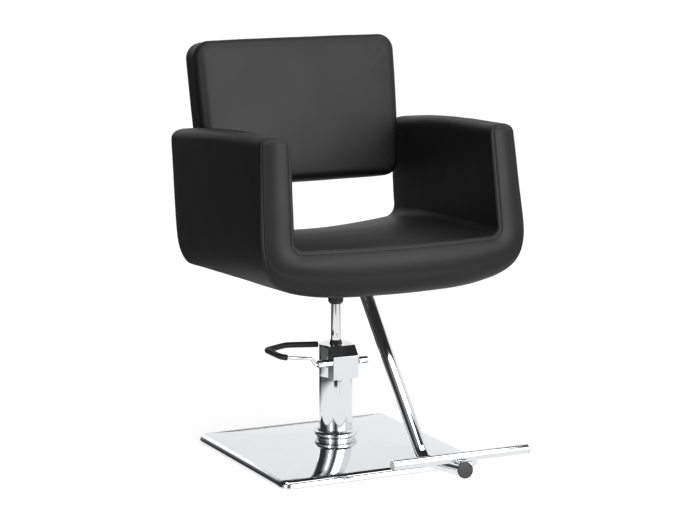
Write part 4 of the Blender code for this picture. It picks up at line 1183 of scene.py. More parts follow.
class CHAIR_OT_turn_column(bpy.types.Operator):
    """Turns the sleeve, pump head, rod, seal and socket, and finishes the pump's inner pieces"""

    bl_idname = "chair.turn_column"
    bl_label = "Turn column"

    def execute(self, context):
        colours = context.scene.chair_colours
        bright = bpy.data.materials["chromium_plated_steel"]
        rubber = moulded("moulded_black_rubber", colours.rubber, 0.58, 1.6, 0.0003, 1.52)
        enamel = stoved_enamel(colours.enamel)
        self.make_sleeve(bright)
        self.make_head(bright)
        self.make_seal(rubber)
        self.make_rod(bright)
        self.make_socket(enamel)
        steel = worked_metal("turned_steel", "#8F9194", 0.38, 0.4)
        finish_nodes(
            steel, "pump_cylinder", "piston_head", "plunger_barrel", "pump_plunger", "lever_shaft"
        )
        bronze = worked_metal("bearing_bronze", "#B08A4A", 0.38, 0.4)
        finish_nodes(bronze, "guide_bush", "swivel_washer")
        finish_nodes(rubber, "piston_seal")
        return {"FINISHED"}

    def make_sleeve(self, material):
        """Thin tube round the pump: the outline of its wall is turned."""
        inner = SLEEVE_RADIUS - SLEEVE_WALL
        low, high = sleeve_box[0].z, sleeve_box[1].z
        wall = tube_wall(inner, SLEEVE_RADIUS, low, high, SLEEVE_WALL / 3)
        form_piece("pump_sleeve", "tube", turned(wall), material, True)

    def make_head(self, material):
        """Turned block, planed in front: above the ledge, points before the flat go back to it."""
        low, high = head_box[0].z, head_box[1].z
        seat = sleeve_box[1].z + GAP
        ledge = seat + LEDGE_HEIGHT
        spigot = SLEEVE_RADIUS - SLEEVE_WALL - GAP
        bore = ROD_RADIUS + BUSH_WALL + 2 * GAP
        foot = eased(
            [
                (bore, seat),
                (spigot, low),
                (spigot, seat),
                (SLEEVE_RADIUS, seat),
                (SLEEVE_RADIUS, ledge),
            ],
            HEAD_BEVEL / 6,
        )
        block = eased(
            [(SLEEVE_RADIUS, ledge), (SLEEVE_RADIUS, high), (bore, high), (bore, ledge)],
            (HEAD_BEVEL, HEAD_BEVEL / 4),
        )
        points = turned(np.concatenate([foot, block]), 2 * TURN_STEPS)
        planed = points[len(foot) :]
        planed[..., 1] = np.maximum(planed[..., 1], -HEAD_FLAT)
        form_piece("pump_head", "planed", points, material, True)

    def make_seal(self, material):
        """Rubber seal round the rod: a sleeve in the pump head with a narrower lip above it."""
        outer = piston_bore + BUSH_WALL
        collar = piston_bore + BUSH_WALL / 2
        low, high = seal_box[0].z, seal_box[1].z
        head_top = head_box[1].z
        lip = (high - head_top) / 3
        start = (piston_bore, (low + high) / 2)
        corners = [
            start,
            (piston_bore, low),
            (outer, low),
            (outer, head_top + lip),
            (collar, head_top + SEAL_STEP * lip),
            (collar, high),
            (piston_bore, high),
            start,
        ]
        wall = eased(corners, BUSH_WALL / 8)
        form_piece("rod_seal", "lipped", turned(wall[:-1]), material, True)

    def make_rod(self, material):
        """Ground rod, whose top tapers into the socket."""
        low, high = rod_box[0].z, rod_box[1].z
        corners = [
            (0.0, high),
            (neck_radius, high),
            (ROD_RADIUS, taper_low),
            (ROD_RADIUS, low),
            (0.0, low),
        ]
        points = turned(eased(corners, PLATE_EDGE))
        form_piece("piston_rod", "ground", points, material)

    def make_socket(self, material):
        """Socket that flares out to the mount plate, with a bore for the rod's taper."""
        low, high = socket_box[0].z, socket_box[1].z
        knee = low + SOCKET_KNEE * (high - low)
        corners = [
            (piston_bore, (low + taper_low) / 2),
            (piston_bore, low),
            (SOCKET_RADIUS - BUSH_WALL, low),
            (SOCKET_RADIUS, low + SOCKET_CHAMFER),
            (SOCKET_RADIUS, knee),
            (SOCKET_FLARE, high),
            (neck_radius + GAP, high),
            (neck_radius + GAP, rod_box[1].z),
            (piston_bore, taper_low),
        ]
        rounds = (
            FINE_EDGE,
            PLATE_EDGE,
            CHAMFER_ROUND,
            FLARE_ROUND,
            FINE_EDGE,
            FINE_EDGE,
            FINE_EDGE,
        )
        points = turned(eased(corners, rounds))
        form_piece("seat_socket", "turned", points, material, True)


class CHAIR_OT_fit_pump_lever(bpy.types.Operator):
    """Makes the box cover, the lever's hub, nut, bent rod and grip, and the plunger's spring"""

    bl_idname = "chair.fit_pump_lever"
    bl_label = "Fit pump lever"

    def execute(self, context):
        bright = bpy.data.materials["chromium_plated_steel"]
        rubber = bpy.data.materials["moulded_black_rubber"]
        eased_copy("pump_cover", bright, SHEET_EDGE)
        middle = (0.0, shaft_y, shaft_z)
        self.make_hub(bright, middle)
        self.make_nut(bright, middle)
        path = self.rod_path()
        self.make_rod(bright, path)
        self.make_grip(rubber, path)
        self.make_spring()
        steel = bpy.data.materials["turned_steel"]
        finish_nodes(steel, "shaft_block_left", "shaft_block_right", "pump_rocker")
        return {"FINISHED"}

    def make_hub(self, material, middle):
        """Hub on the lever's axis, bored for the shaft at one end and for the rod at the other."""
        start, end = -hub_box[1].x, -hub_box[0].x
        rod_bore = LEVER_ROD / 2 + GAP
        shaft_bore = SHAFT_RADIUS + GAP
        step = (start + end) / 2 + GAP
        corners = [
            (shaft_bore, step),
            (shaft_bore, start),
            (HUB_RADIUS, start),
            (HUB_RADIUS, end),
            (rod_bore, end),
            (rod_bore, step),
        ]
        hub = eased(corners, (TINY_EDGE, SHEET_EDGE, HEAD_BEVEL, FINE_EDGE))
        points = turned(hub, SMALL_STEPS, middle, LEFT)
        form_piece("lever_hub", "turned", points, material, True)

    def make_nut(self, material, middle):
        """Round nut with a bevelled end, turned on the lever's axis."""
        low, high = nut_box[0].x, nut_box[1].x
        bore = SHAFT_RADIUS + GAP
        bore_end = (low + high) / 2 + GAP
        rounds = (HEAD_BEVEL, HEAD_BEVEL / 3, HEAD_BEVEL / 6, HEAD_BEVEL / 6)
        nut = stepped(NUT_RADIUS, bore, high, low, bore_end, rounds)
        points = turned(nut, SMALL_STEPS, middle, RIGHT)
        form_piece("shaft_nut", "turned", points, material)

    def rod_path(self):
        """Centre line of the rod: out of the hub, up, out, round and back along the pedal bar."""
        hub_end = hub_box[0].x
        hub_length = hub_box[1].x - hub_box[0].x
        rear = shaft_y + LEVER_SPAN
        top = shaft_z + LEVER_RISE
        corners = [
            (hub_end + hub_length / 3, shaft_y, shaft_z),
            (hub_end - LEVER_ROD, shaft_y, shaft_z),
            (hub_end - 2 * LEVER_ROD, shaft_y, shaft_z + LEVER_STEP),
            (lever_end, shaft_y, top),
            (lever_end, rear, top),
            (lever_end + PEDAL_MIDDLE, rear + PEDAL_BOW, top),
            (lever_end + PEDAL_LENGTH, rear + PEDAL_HOOK, top),
        ]
        bends = (STEP_BEND, STEP_BEND, LEVER_BEND, LEVER_BEND, 2 * LEVER_BEND)
        return eased(corners, bends, BEND_STEPS)

    def make_rod(self, material, path):
        """Bent rod: a tube along the path, closed by a point at each end."""
        tip = path[-1] + unit(path[-1] - path[-2]) * LEVER_ROD / 8
        line = np.concatenate([path[:1], path, tip[None]])
        line[0, 0] += CLOSING_STEP
        sizes = np.full(len(line), LEVER_ROD / 2)
        sizes[[0, -1]] = 0.0
        points = swept(line, sizes, UP, SMALL_STEPS)
        form_piece("lever_rod", "bent", points, material)

    def make_grip(self, material, path):
        """Rubber sleeve over the pedal bar: a tube that follows the rod, with a short bore.

        At its ends the radius follows a quarter round, and a point closes the far end.
        """
        covered = path[np.argmax(path[:, 0] < lever_end + GRIP_START) :]
        tail = unit(covered[-1] - covered[-2])
        head = unit(covered[0] - covered[1])
        end = covered[-1] + tail * GRIP_END
        radius = GRIP_DIAMETER / 2
        lip = GRIP_LIP * radius
        turn = np.linspace(0.0, math.pi / 2, GRIP_END_STEPS)
        near = covered[0] - head * lip + head * lip * np.cos(turn)[:, None]
        far = end - tail * lip + tail * lip * np.sin(turn)[:, None]
        line = np.concatenate([near, covered[1:-1], far, end[None] + tail * CLOSING_STEP])
        sizes = np.full(len(line), radius)
        sizes[:GRIP_END_STEPS] = radius - lip + lip * np.sin(turn)
        sizes[-1 - GRIP_END_STEPS : -1] = radius - lip + lip * np.cos(turn)
        sizes[-1] = 0.0
        bore = swept(covered[:2], LEVER_ROD / 2 + GAP, UP, SMALL_STEPS)
        points = np.concatenate([bore[::-1], swept(line, sizes, UP, SMALL_STEPS)])
        form_piece("lever_grip", "moulded", points, material)

    def make_spring(self):
        """Helix of wire round the plunger: the angle turns evenly while the height rises evenly."""
        low, high = spring_box
        middle = (low + high) / 2
        coil = (high.x - low.x) / 2 - SPRING_WIRE / 2
        turn = np.linspace(0.0, math.tau * SPRING_TURNS, COIL_STEPS * SPRING_TURNS + 1)
        rise = np.linspace(low.z + SPRING_WIRE / 2, high.z - SPRING_WIRE / 2, len(turn))
        path = np.stack([coil * np.cos(turn), middle.y + coil * np.sin(turn), rise], axis=-1)
        sizes = np.full(len(path), SPRING_WIRE / 2)
        sizes[[0, -1]] = 0.0
        points = swept(path, sizes, UP, WIRE_STEPS)
        wire_steel = worked_metal("spring_wire", "#7F8286", 0.35, 0.3)
        spring = form_piece("plunger_spring", "wound", points, wire_steel)
        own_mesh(spring)


class CHAIR_OT_bend_footrest(bpy.types.Operator):
    """Makes the footrest's bent post, bar, cap and plugs"""

    bl_idname = "chair.bend_footrest"
    bl_label = "Bend footrest"

    def execute(self, context):
        colours = context.scene.chair_colours
        bright = bpy.data.materials["chromium_plated_steel"]
        corners = [
            (0.0, -POST_TOP_REACH, flange_low - GAP),
            (0.0, -POST_BEND_REACH, seat_low - POST_BEND_DROP),
            (0.0, -FOOT_REACH, seat_low - FOOT_DROP),
        ]
        path = eased(corners, POST_BEND_RADIUS, 2 * BEND_STEPS)
        self.make_post(bright, path)
        cap_plastic = moulded("moulded_grey_polypropylene", colours.cap, 0.46, 1.8, 0.0003, 1.49)
        self.make_cap(cap_plastic, path)
        self.make_bar(bright)
        plug_plastic = moulded("moulded_pale_polythene", colours.plug, 0.42, 1.6, 0.0002, 1.5)
        self.make_plugs(plug_plastic)
        return {"FINISHED"}

    def make_post(self, material, path):
        """Bent tube, whose upper end is cut level: its rings slide along the tube to one height."""
        outer = swept(path, POST_RADIUS, RIGHT)
        inner = swept(path, POST_RADIUS - TUBE_WALL, RIGHT)
        down = unit(path[1] - path[0])
        for rings in (outer, inner):
            rings[0] += down * ((path[0, 2] - rings[0, :, 2:]) / down[2])
        points = np.concatenate([outer, inner[::-1]])
        form_piece("footrest_post", "bent", points, material, True)

    def make_cap(self, material, path):
        """Cap on the post's lower end, turned on the tube's axis, with a spigot inside the tube."""
        spigot = POST_RADIUS - TUBE_WALL - GAP
        rounds = (CAP_ROUND, FINE_EDGE, TINY_EDGE, PLATE_EDGE)
        cap = stepped(CAP_RADIUS, spigot, CAP_THICKNESS, GAP, -SPIGOT_LENGTH, rounds)
        points = turned(cap, SMALL_STEPS, path[-1], unit(path[-1] - path[-2]))
        form_piece("post_cap", "moulded", points, material)

    def make_bar(self, material):
        """Straight tube across the post: the outline of its wall is turned on the bar's axis."""
        half = bar_box[1].x
        wall = tube_wall(BAR_RADIUS - TUBE_WALL, BAR_RADIUS, -half, half, TUBE_EDGE)
        points = turned(wall, SMALL_STEPS, bar_middle, RIGHT)
        form_piece("footrest_bar", "tube", points, material, True)

    def make_plugs(self, material):
        """Plug in each end of the bar: a rounded head and a spigot inside the tube."""
        half = bar_box[1].x
        start = half + GAP
        spigot = BAR_RADIUS - TUBE_WALL - GAP
        spigot_end = half - SPIGOT_LENGTH
        rounds = (CAP_ROUND, TINY_EDGE, TINY_EDGE, PLUG_EDGE)
        plug = stepped(BAR_RADIUS, spigot, start + PLUG_HEAD, start, spigot_end, rounds)
        for side, axis in (("left", LEFT), ("right", RIGHT)):
            points = turned(plug, SMALL_STEPS, bar_middle, axis)
            form_piece(f"bar_plug_{side}", "moulded", points, material)


class CHAIR_OT_bolt_mount(bpy.types.Operator):
    """Finishes the plates under the seat and turns their bolts"""

    bl_idname = "chair.bolt_mount"
    bl_label = "Bolt mount"

    def execute(self, context):
        enamel = bpy.data.materials["stoved_enamel"]
        zinc = bpy.data.materials["zinc_plated_steel"]
        eased_copy("mount_plate", enamel, PLATE_EDGE)
        eased_copy("footrest_flange", enamel, PLATE_EDGE)
        eased_copy("seat_board", stained_plywood(), PLATE_EDGE)
        for group in ("mount", "footrest"):
            for number in BOLT_NUMBERS:
                self.make_bolt(f"{group}_bolt_{number}", zinc)
        for side in ("left", "right"):
            finish_nodes(zinc, f"back_stud_{side}_lower", f"back_stud_{side}_upper")
        return {"FINISHED"}

    def make_bolt(self, node, material):
        """Domed bolt with a hexagon socket.

        The socket's rows use the hexagon's radius, its half width / cos(angle from a flat's
        middle).
        """
        low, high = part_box(node)
        middle = ((low.x + high.x) / 2, (low.y + high.y) / 2, 0.0)
        flat = BOLT_KEY * BOLT_HEAD_RADIUS
        depth = BOLT_KEY_DEPTH * BOLT_HEAD_HEIGHT
        rim = BOLT_RIM * BOLT_HEAD_RADIUS
        seat = low.z + BOLT_HEAD_HEIGHT
        turn = np.linspace(0.0, math.pi / 2, BOLT_DOME_STEPS)
        out = rim + (BOLT_HEAD_RADIUS - rim) * np.sin(turn)
        dome = np.stack([out, low.z + BOLT_DOME * BOLT_HEAD_HEIGHT * (1.0 - np.cos(turn))], axis=-1)
        body = [
            (BOLT_HEAD_RADIUS, seat),
            (BOLT_SHANK_RADIUS, seat),
            (BOLT_SHANK_RADIUS, high.z),
            (0.0, high.z),
        ]
        outside = turned(np.concatenate([dome, body]), SMALL_STEPS, middle)
        angles = np.arange(SMALL_STEPS) * math.tau / SMALL_STEPS
        sixth = math.pi / 6
        hexagon = flat / np.cos((angles + sixth) % (2 * sixth) - sixth)
        circle = np.stack([np.cos(angles), np.sin(angles), np.zeros(SMALL_STEPS)], axis=-1)
        socket = []
        for reach, height in ((0.0, low.z + depth), (1.0, low.z + depth), (1.0, low.z)):
            socket.append(circle * (reach * hexagon)[:, None] + np.array((*middle[:2], height)))
        points = np.concatenate([np.stack(socket), outside])
        form_piece(node, "domed", points, material)


# Sewn covers


def front_at(x, z):
    """Front face of the padded U: it leans back with height and bows forward in the middle."""
    return -FRONT_REACH + FRONT_RAKE * (z - seat_top) + x**2 / (2 * FRONT_BOW)


def rear_at(z):
    """Rear face of the padded U, which leans back with height."""
    return SEAT_REAR + REAR_LEAN * (z - seat_top)


def inner_edge(station, corner, level, dish):
    """Inner face of the U across the seat: level, then a quarter round, then up the arm.

    The round has the corner's radius. Across the seat and its corner the height also gains the dish
    times the square of the share from the middle.
    """
    straight = seat_half - corner
    along = np.interp(station, range(len(INNER_SHARES)), INNER_SHARES) * straight
    turn = np.radians(np.interp(station, (CORNER_START, CORNER_END), (-90.0, 0.0)))
    foot = level + corner + dish
    rise = np.interp(station, ARM_RISE_STATIONS, ARM_RISE_SHARES) * (arm_top - ARM_ROUND - foot)
    x = np.where(station < CORNER_START, along, straight + corner * np.cos(turn))
    z = level + corner * (1.0 + np.sin(turn)) + dish * (x / seat_half) ** 2 + rise
    return np.stack([x, z], axis=-1)


def outer_edge(station):
    """Outer face of the U: half a superellipse under the seat, then up to the arm's top."""
    share = np.interp(station, range(len(OUTER_SHARES)), OUTER_SHARES)
    drop = SHELL_SIDE * (1.0 - share**SHELL_POWER) ** (1.0 / SHELL_POWER)
    rise = np.interp(station, ARM_RISE_STATIONS, ARM_RISE_SHARES)
    side_top = seat_low + SHELL_SIDE
    x = share * shell_half + rise * (arm_out_top - shell_half)
    z = side_top - drop + rise * (arm_top - ARM_ROUND - side_top)
    return np.stack([x, z], axis=-1)


def length_along(line):
    """Length along a line from its start to each of its points."""
    steps = np.linalg.norm(np.diff(line, axis=0), axis=1)
    return np.concatenate([[0.0], np.cumsum(steps)])


def even_stations(count):
    """Stations from the seat's middle to the shoulder, evenly spaced midway in the padding."""
    fine = np.linspace(0.0, SHOULDER, STATION_STEPS)
    middle = (inner_edge(fine, CORNER_IN, seat_top, 0.0) + outer_edge(fine)) / 2
    length = length_along(middle)
    return np.interp(np.linspace(0.0, length[-1], count), length, fine)


# Columns round one section of the U: edge rounds and faces, from the inner front edge outwards
FRONT_EDGE_STEPS = 4
BAND_STEPS = 11
UNDER_FRONT_STEPS = 4
UNDER_SIDE_STEPS = 5
SIDE_STEPS = 52
REAR_OUT_STEPS = 7
REAR_STEPS = 6
REAR_IN_STEPS = 4
INNER_STEPS = 52
INNER_SEAM = FRONT_EDGE_STEPS
OUTER_SEAM = INNER_SEAM + BAND_STEPS + UNDER_FRONT_STEPS + 1
REAR_OUT_SEAM = OUTER_SEAM + 1 + UNDER_SIDE_STEPS + SIDE_STEPS + REAR_OUT_STEPS
REAR_IN_SEAM = REAR_OUT_SEAM + REAR_STEPS
SEAM_SHOULDER = 0.0020  # column beside a seam, where the cover turns in
SHOULDER_SHARE = 0.6  # most of the way to the end of the edge's round that a shoulder takes up

# Rows of the U: half of them, with the rounded arm top and the rows that close it
HALF_ROWS = 66
TOP_ROWS = 8
CLOSING_ROWS = 4
TOP_SEAM_TURN = math.radians(70.0)
TOP_FLAT_CROWN = 0.0015

# Turns of the rows round an arm's top, one of which is moved to the seam
top_turn = np.linspace(0.0, math.pi / 2, TOP_ROWS + 1)[1:]
top_seam_row = int(np.argmin(np.abs(top_turn - TOP_SEAM_TURN)))
top_turn[top_seam_row] = TOP_SEAM_TURN


def section(thick, depth, arm, seam_turn, shrink):
    """Section across the padding as (across, back): round edges, and faces that crown as a sine.

    The edges are quarter rounds. thick, depth, arm, seam_turn and shrink are columns, one row for
    each station. The section is drawn in towards its middle by shrink on every side.
    """
    under = UNDER_ROUND + (FRONT_EDGE - UNDER_ROUND) * arm
    across = []
    back = []

    def arc(centre_across, centre_back, radius, start, end, steps):
        """Adds points on an arc, short of its end."""
        turn = start + (end - start) * np.linspace(0.0, 1.0, steps, endpoint=False)[None]
        across.append(centre_across + radius * np.cos(turn))
        back.append(centre_back + radius * np.sin(turn))

    quarter = math.pi / 2
    full = np.ones_like(thick)
    arc(FRONT_EDGE * full, FRONT_EDGE, FRONT_EDGE, 2 * quarter, 3 * quarter, FRONT_EDGE_STEPS)
    width = thick - under - FRONT_EDGE
    rest = np.linspace(SEAM_SHOULDER, 1.0, BAND_STEPS - 1, endpoint=False)
    run = np.concatenate([[0.0], rest])[None]
    run = np.where(np.arange(BAND_STEPS)[None] == 1, SEAM_SHOULDER / width, run)
    across.append(FRONT_EDGE + width * run)
    back.append(-FRONT_CROWN * np.sin(math.pi * run))
    split = 3 * quarter + seam_turn
    room = SHOULDER_SHARE * np.minimum(seam_turn, quarter - seam_turn)
    nudge = np.minimum(SEAM_SHOULDER / under, room)
    arc(thick - under, under, under, 3 * quarter, split - nudge, UNDER_FRONT_STEPS)
    arc(thick - under, under, under, split - nudge, split, 1)
    arc(thick - under, under, under, split, split + nudge, 1)
    arc(thick - under, under, under, split + nudge, 4 * quarter, UNDER_SIDE_STEPS)
    run = np.linspace(0.0, 1.0, SIDE_STEPS, endpoint=False)[None]
    across.append(thick + ARM_CROWN * arm * np.sin(math.pi * run))
    back.append(under + (depth - REAR_OUT_EDGE - under) * run)
    arc(thick - REAR_OUT_EDGE, depth - REAR_OUT_EDGE, REAR_OUT_EDGE, 0.0, quarter, REAR_OUT_STEPS)
    run = np.linspace(0.0, 1.0, REAR_STEPS, endpoint=False)[None]
    across.append(thick - REAR_OUT_EDGE + (REAR_IN_EDGE - thick + REAR_OUT_EDGE) * run)
    back.append(depth + REAR_CROWN * np.sin(math.pi * run))
    rear_in = depth - REAR_IN_EDGE
    arc(REAR_IN_EDGE * full, rear_in, REAR_IN_EDGE, quarter, 2 * quarter, REAR_IN_STEPS)
    run = np.linspace(0.0, 1.0, INNER_STEPS, endpoint=False)[None]
    across.append(-SEAT_CROWN * (1.0 - arm) * np.sin(math.pi * run))
    back.append(depth - REAR_IN_EDGE + (FRONT_EDGE - depth + REAR_IN_EDGE) * run)

    def drawn_in(parts, size):
        """Joins parts of the section and draws them in towards its middle."""
        full_parts = [np.broadcast_to(part, (len(thick), part.shape[1])) for part in parts]
        whole = np.concatenate(full_parts, axis=1)
        return size / 2 + (whole - size / 2) * (1.0 - 2 * shrink / size)

    return drawn_in(across, thick), drawn_in(back, depth)


def shell_grid():
    """Padded U as a grid: rows run from the top of one arm under the seat to the top of the other.

    Each row is a section laid between the inner and the outer face and between the front and the
    rear face at its station. Towards an arm's top the sections rise on a quarter round as they
    shrink, and then close to a line.
    """
    station = even_stations(HALF_ROWS)
    closing = np.linspace(0.0, 1.0, CLOSING_ROWS + 1)[1:]
    level = np.zeros(HALF_ROWS)
    rounded = ARM_ROUND * (1.0 - np.cos(top_turn))
    closed = ARM_ROUND + (ARM_TOP_WIDTH / 2 - ARM_ROUND) * closing
    shrink = np.concatenate([level, rounded, closed])
    crown = ARM_ROUND + TOP_FLAT_CROWN * np.sin(closing * math.pi / 2)
    lift = np.concatenate([level, ARM_ROUND * np.sin(top_turn), crown])[:, None]
    station = np.concatenate([station, np.full(TOP_ROWS + CLOSING_ROWS, SHOULDER)])
    front = inner_edge(station, CORNER_IN, seat_top, 0.0)
    rear = inner_edge(station, CORNER_IN_REAR, seat_top - SEAT_FALL, SEAT_DISH)
    outer = outer_edge(station)
    thick = np.linalg.norm(outer - front, axis=1)[:, None]
    middle = (outer + front) / 2
    depth = (rear_at(middle[:, 1]) - front_at(middle[:, 0], middle[:, 1]))[:, None]
    arm = np.clip((station - CORNER_START) / (CORNER_END - CORNER_START), 0.0, 1.0)[:, None]
    seam_turn = np.radians(np.interp(station, SEAM_STATIONS, SEAM_TURNS))[:, None]
    full_shrink = np.minimum(shrink[:, None], thick / 2)
    across, back = section(thick, depth, arm, seam_turn, full_shrink)
    share = (across / thick)[..., None]
    run = (back / depth)[..., None]
    inside = front[:, None] + (rear - front)[:, None] * run
    flat = inside + (outer[:, None] - inside) * share
    x, z = flat[..., 0], flat[..., 1]
    share, run = share[..., 0], run[..., 0]
    start = front_at(x, z)
    y = start + run * (rear_at(z) - start)
    knee = seat_top + CORNER_IN
    height = np.maximum(0.0, (z - knee) / (arm_top - knee))
    rise = ((outer[:, 1] - seat_low) / (arm_top - ARM_ROUND - seat_low))[:, None]
    side = np.minimum(1.0, 2 * arm) * (1.0 - rise)
    z = z - UNDER_FALL * run * share * side
    x = x + height * (ARM_SPLAY * run * (1.0 - share) - ARM_LEAN * (1.0 - run) ** 2)
    z = z + height * (ARM_TOP_CROWN * np.sin(math.pi * run) - ARM_DROP * run) + lift
    right = np.stack([x, y, z], axis=-1)
    left = right[:0:-1] * np.array((-1.0, 1.0, 1.0))
    return np.concatenate([left, right])


def pad_outline(
    half_width, low, high, low_radius, high_radius, side_steps=22, top_steps=40, corner_steps=8
):
    """Points round an upright rectangle with its own corner radius below and above.

    Every size is a column, one row for each ring.
    """
    run = np.linspace(0.0, 1.0, side_steps, endpoint=False)[None]
    across = np.linspace(1.0, -1.0, top_steps, endpoint=False)[None]
    turn = np.linspace(0.0, math.pi / 2, corner_steps, endpoint=False)[None]
    climb = low + low_radius + (high - high_radius - low - low_radius) * run
    x = np.concatenate(
        [
            np.broadcast_to(half_width, climb.shape),
            half_width - high_radius + high_radius * np.cos(turn),
            (half_width - high_radius) * across,
            -half_width + high_radius - high_radius * np.sin(turn),
            np.broadcast_to(-half_width, climb.shape),
            -half_width + low_radius - low_radius * np.cos(turn),
            -(half_width - low_radius) * across,
            half_width - low_radius + low_radius * np.sin(turn),
        ],
        axis=1,
    )
    up = np.concatenate(
        [
            climb,
            high - high_radius + high_radius * np.sin(turn),
            np.broadcast_to(high, (len(high), top_steps)),
            high - high_radius + high_radius * np.cos(turn),
            high - high_radius + (low + low_radius - high + high_radius) * run,
            low + low_radius - low_radius * np.sin(turn),
            np.broadcast_to(low, (len(low), top_steps)),
            low + low_radius - low_radius * np.cos(turn),
        ],
        axis=1,
    )
    return x, up


# Rows of the back pad: rear face, rear edge, boxing, front edge, front face
PAD_FACE_ROWS = 20
PAD_EDGE_ROWS = 6
PAD_BOX_ROWS = 8
PAD_REAR_SEAM = PAD_FACE_ROWS + PAD_EDGE_ROWS
PAD_FRONT_SEAM = PAD_REAR_SEAM + PAD_BOX_ROWS


def pad_grid():
    """Back pad as a grid: rings from the middle of its rear face round to the middle of its front.

    A ring is the pad's outline drawn in by an inset. The edges are quarter rounds and the sides
    draw in by a sine. The front crowns by one less the square of the share from its middle, across
    times upright, and the crown fades out down the front edge's round. The whole leans back, and
    its lower part narrows between the arms.
    """
    deep = PAD_THICKNESS
    closed = PAD_HEIGHT / 2
    face = np.linspace(1.0, 0.0, PAD_FACE_ROWS, endpoint=False)
    quarter = np.linspace(0.0, math.pi / 2, PAD_EDGE_ROWS, endpoint=False)
    box = np.linspace(0.0, 1.0, PAD_BOX_ROWS, endpoint=False)
    rear_inset = PAD_REAR_EDGE + (closed - PAD_REAR_EDGE) * face
    front_inset = PAD_FRONT_EDGE + (closed - PAD_FRONT_EDGE) * np.append(face, 0.0)[::-1]
    side_low = deep - PAD_REAR_EDGE
    inset = np.concatenate(
        [
            rear_inset,
            PAD_REAR_EDGE * (1.0 - np.sin(quarter)),
            PAD_WAIST * np.sin(math.pi * box),
            PAD_FRONT_EDGE * (1.0 - np.cos(quarter)),
            front_inset,
        ]
    )[:, None]
    back = np.concatenate(
        [
            deep + PAD_WAIST * np.sin(face * math.pi / 2),
            side_low + PAD_REAR_EDGE * np.cos(quarter),
            side_low + (PAD_FRONT_EDGE - side_low) * box,
            PAD_FRONT_EDGE * (1.0 - np.sin(quarter)),
            np.zeros(len(front_inset)),
        ]
    )[:, None]
    room = closed - inset
    high_radius = np.minimum(np.maximum(PAD_TOP_CORNER - inset, PAD_REAR_EDGE), room)
    low_radius = np.minimum(np.maximum(PAD_LOW_CORNER - inset, PAD_REAR_EDGE), room)
    x, up = pad_outline(pad_half - inset, inset, PAD_HEIGHT - inset, low_radius, high_radius)
    across = 1.0 - (x / pad_half) ** 2
    upright = 1.0 - (2.0 * up / PAD_HEIGHT - 1.0) ** 2
    on_front = np.clip(1.0 - back / PAD_FRONT_EDGE, 0.0, 1.0)
    back = back - PAD_CROWN * on_front * across * upright
    x = x * (1.0 - PAD_SQUEEZE / pad_half * (1.0 - up / PAD_HEIGHT) ** 2)
    y = pad_front + up * math.sin(PAD_RECLINE) + back * math.cos(PAD_RECLINE)
    z = pad_low + up * math.cos(PAD_RECLINE) - back * math.sin(PAD_RECLINE)
    return np.stack([x, y, z], axis=-1)


# Cloth of the covers while the filling swells it
SWELL_FRAMES = 20
CLOTH_TENSION = 40.0
CLOTH_SHEAR = 15.0
CLOTH_BENDING = 2.0

# Slow unevenness of the covers: three sines, by their radians for each metre and their starts
WAVE_DIRECTIONS = np.array([(31.0, 17.0, 43.0), (-47.0, 29.0, 23.0), (13.0, -53.0, 37.0)])
WAVE_PHASES = np.array((0.4, 1.9, 3.1))

# Cover this close above the seat's underside lies on the board
REST_HEIGHT = 0.004

# Stitches: rings along one, points round a ring, and the share of the half length where it ends
STITCH_RINGS = 5
STITCH_SIDES = 6
STITCH_TIP = 0.98


def evened(mesh, values, rounds):
    """Evens values over a mesh: each round gives a vertex the mean of itself and its neighbours."""
    ends = edge_ends(mesh)
    first, second = ends.T
    share = 1.0 + np.bincount(ends.ravel(), minlength=len(values))[:, None]
    for _ in range(rounds):
        total = values.copy()
        np.add.at(total, first, values[second])
        np.add.at(total, second, values[first])
        values = total / share
    return values


def swell(obj, held, pressure, limit, rounds):
    """Fills a cover like a cushion: cloth with inner pressure and no weight, held along its seams.

    Each point's move over the frames is kept, up to the limit, and evened out. The cloth is taken
    off again.
    """
    scene = bpy.context.scene
    before = positions(obj.data)
    obj.vertex_groups.new(name="held").add(held.tolist(), 1.0, "REPLACE")
    cloth = obj.modifiers.new("filling", "CLOTH")
    cloth.settings.vertex_group_mass = "held"
    cloth.settings.use_pressure = True
    cloth.settings.uniform_pressure_force = pressure
    cloth.settings.tension_stiffness = CLOTH_TENSION
    cloth.settings.compression_stiffness = CLOTH_TENSION
    cloth.settings.shear_stiffness = CLOTH_SHEAR
    cloth.settings.bending_stiffness = CLOTH_BENDING
    cloth.settings.effector_weights.gravity = 0.0
    cloth.point_cache.frame_start = 1
    cloth.point_cache.frame_end = SWELL_FRAMES
    for number in range(1, SWELL_FRAMES + 1):
        scene.frame_set(number)
    filled = obj.evaluated_get(bpy.context.evaluated_depsgraph_get())
    move = positions(filled.data) - before
    obj.modifiers.remove(cloth)
    obj.vertex_groups.clear()
    scene.frame_set(1)
    length = np.linalg.norm(move, axis=1, keepdims=True)
    move = move * np.minimum(1.0, limit / np.maximum(length, MERGE))
    move_to(obj.data, before + evened(obj.data, move, rounds))


def waves(places, height):
    """Slow unevenness of cover over foam: the mean of three sines of unlike direction."""
    sines = np.sin(places @ WAVE_DIRECTIONS.T + WAVE_PHASES)
    return height * sines.mean(axis=1, keepdims=True)


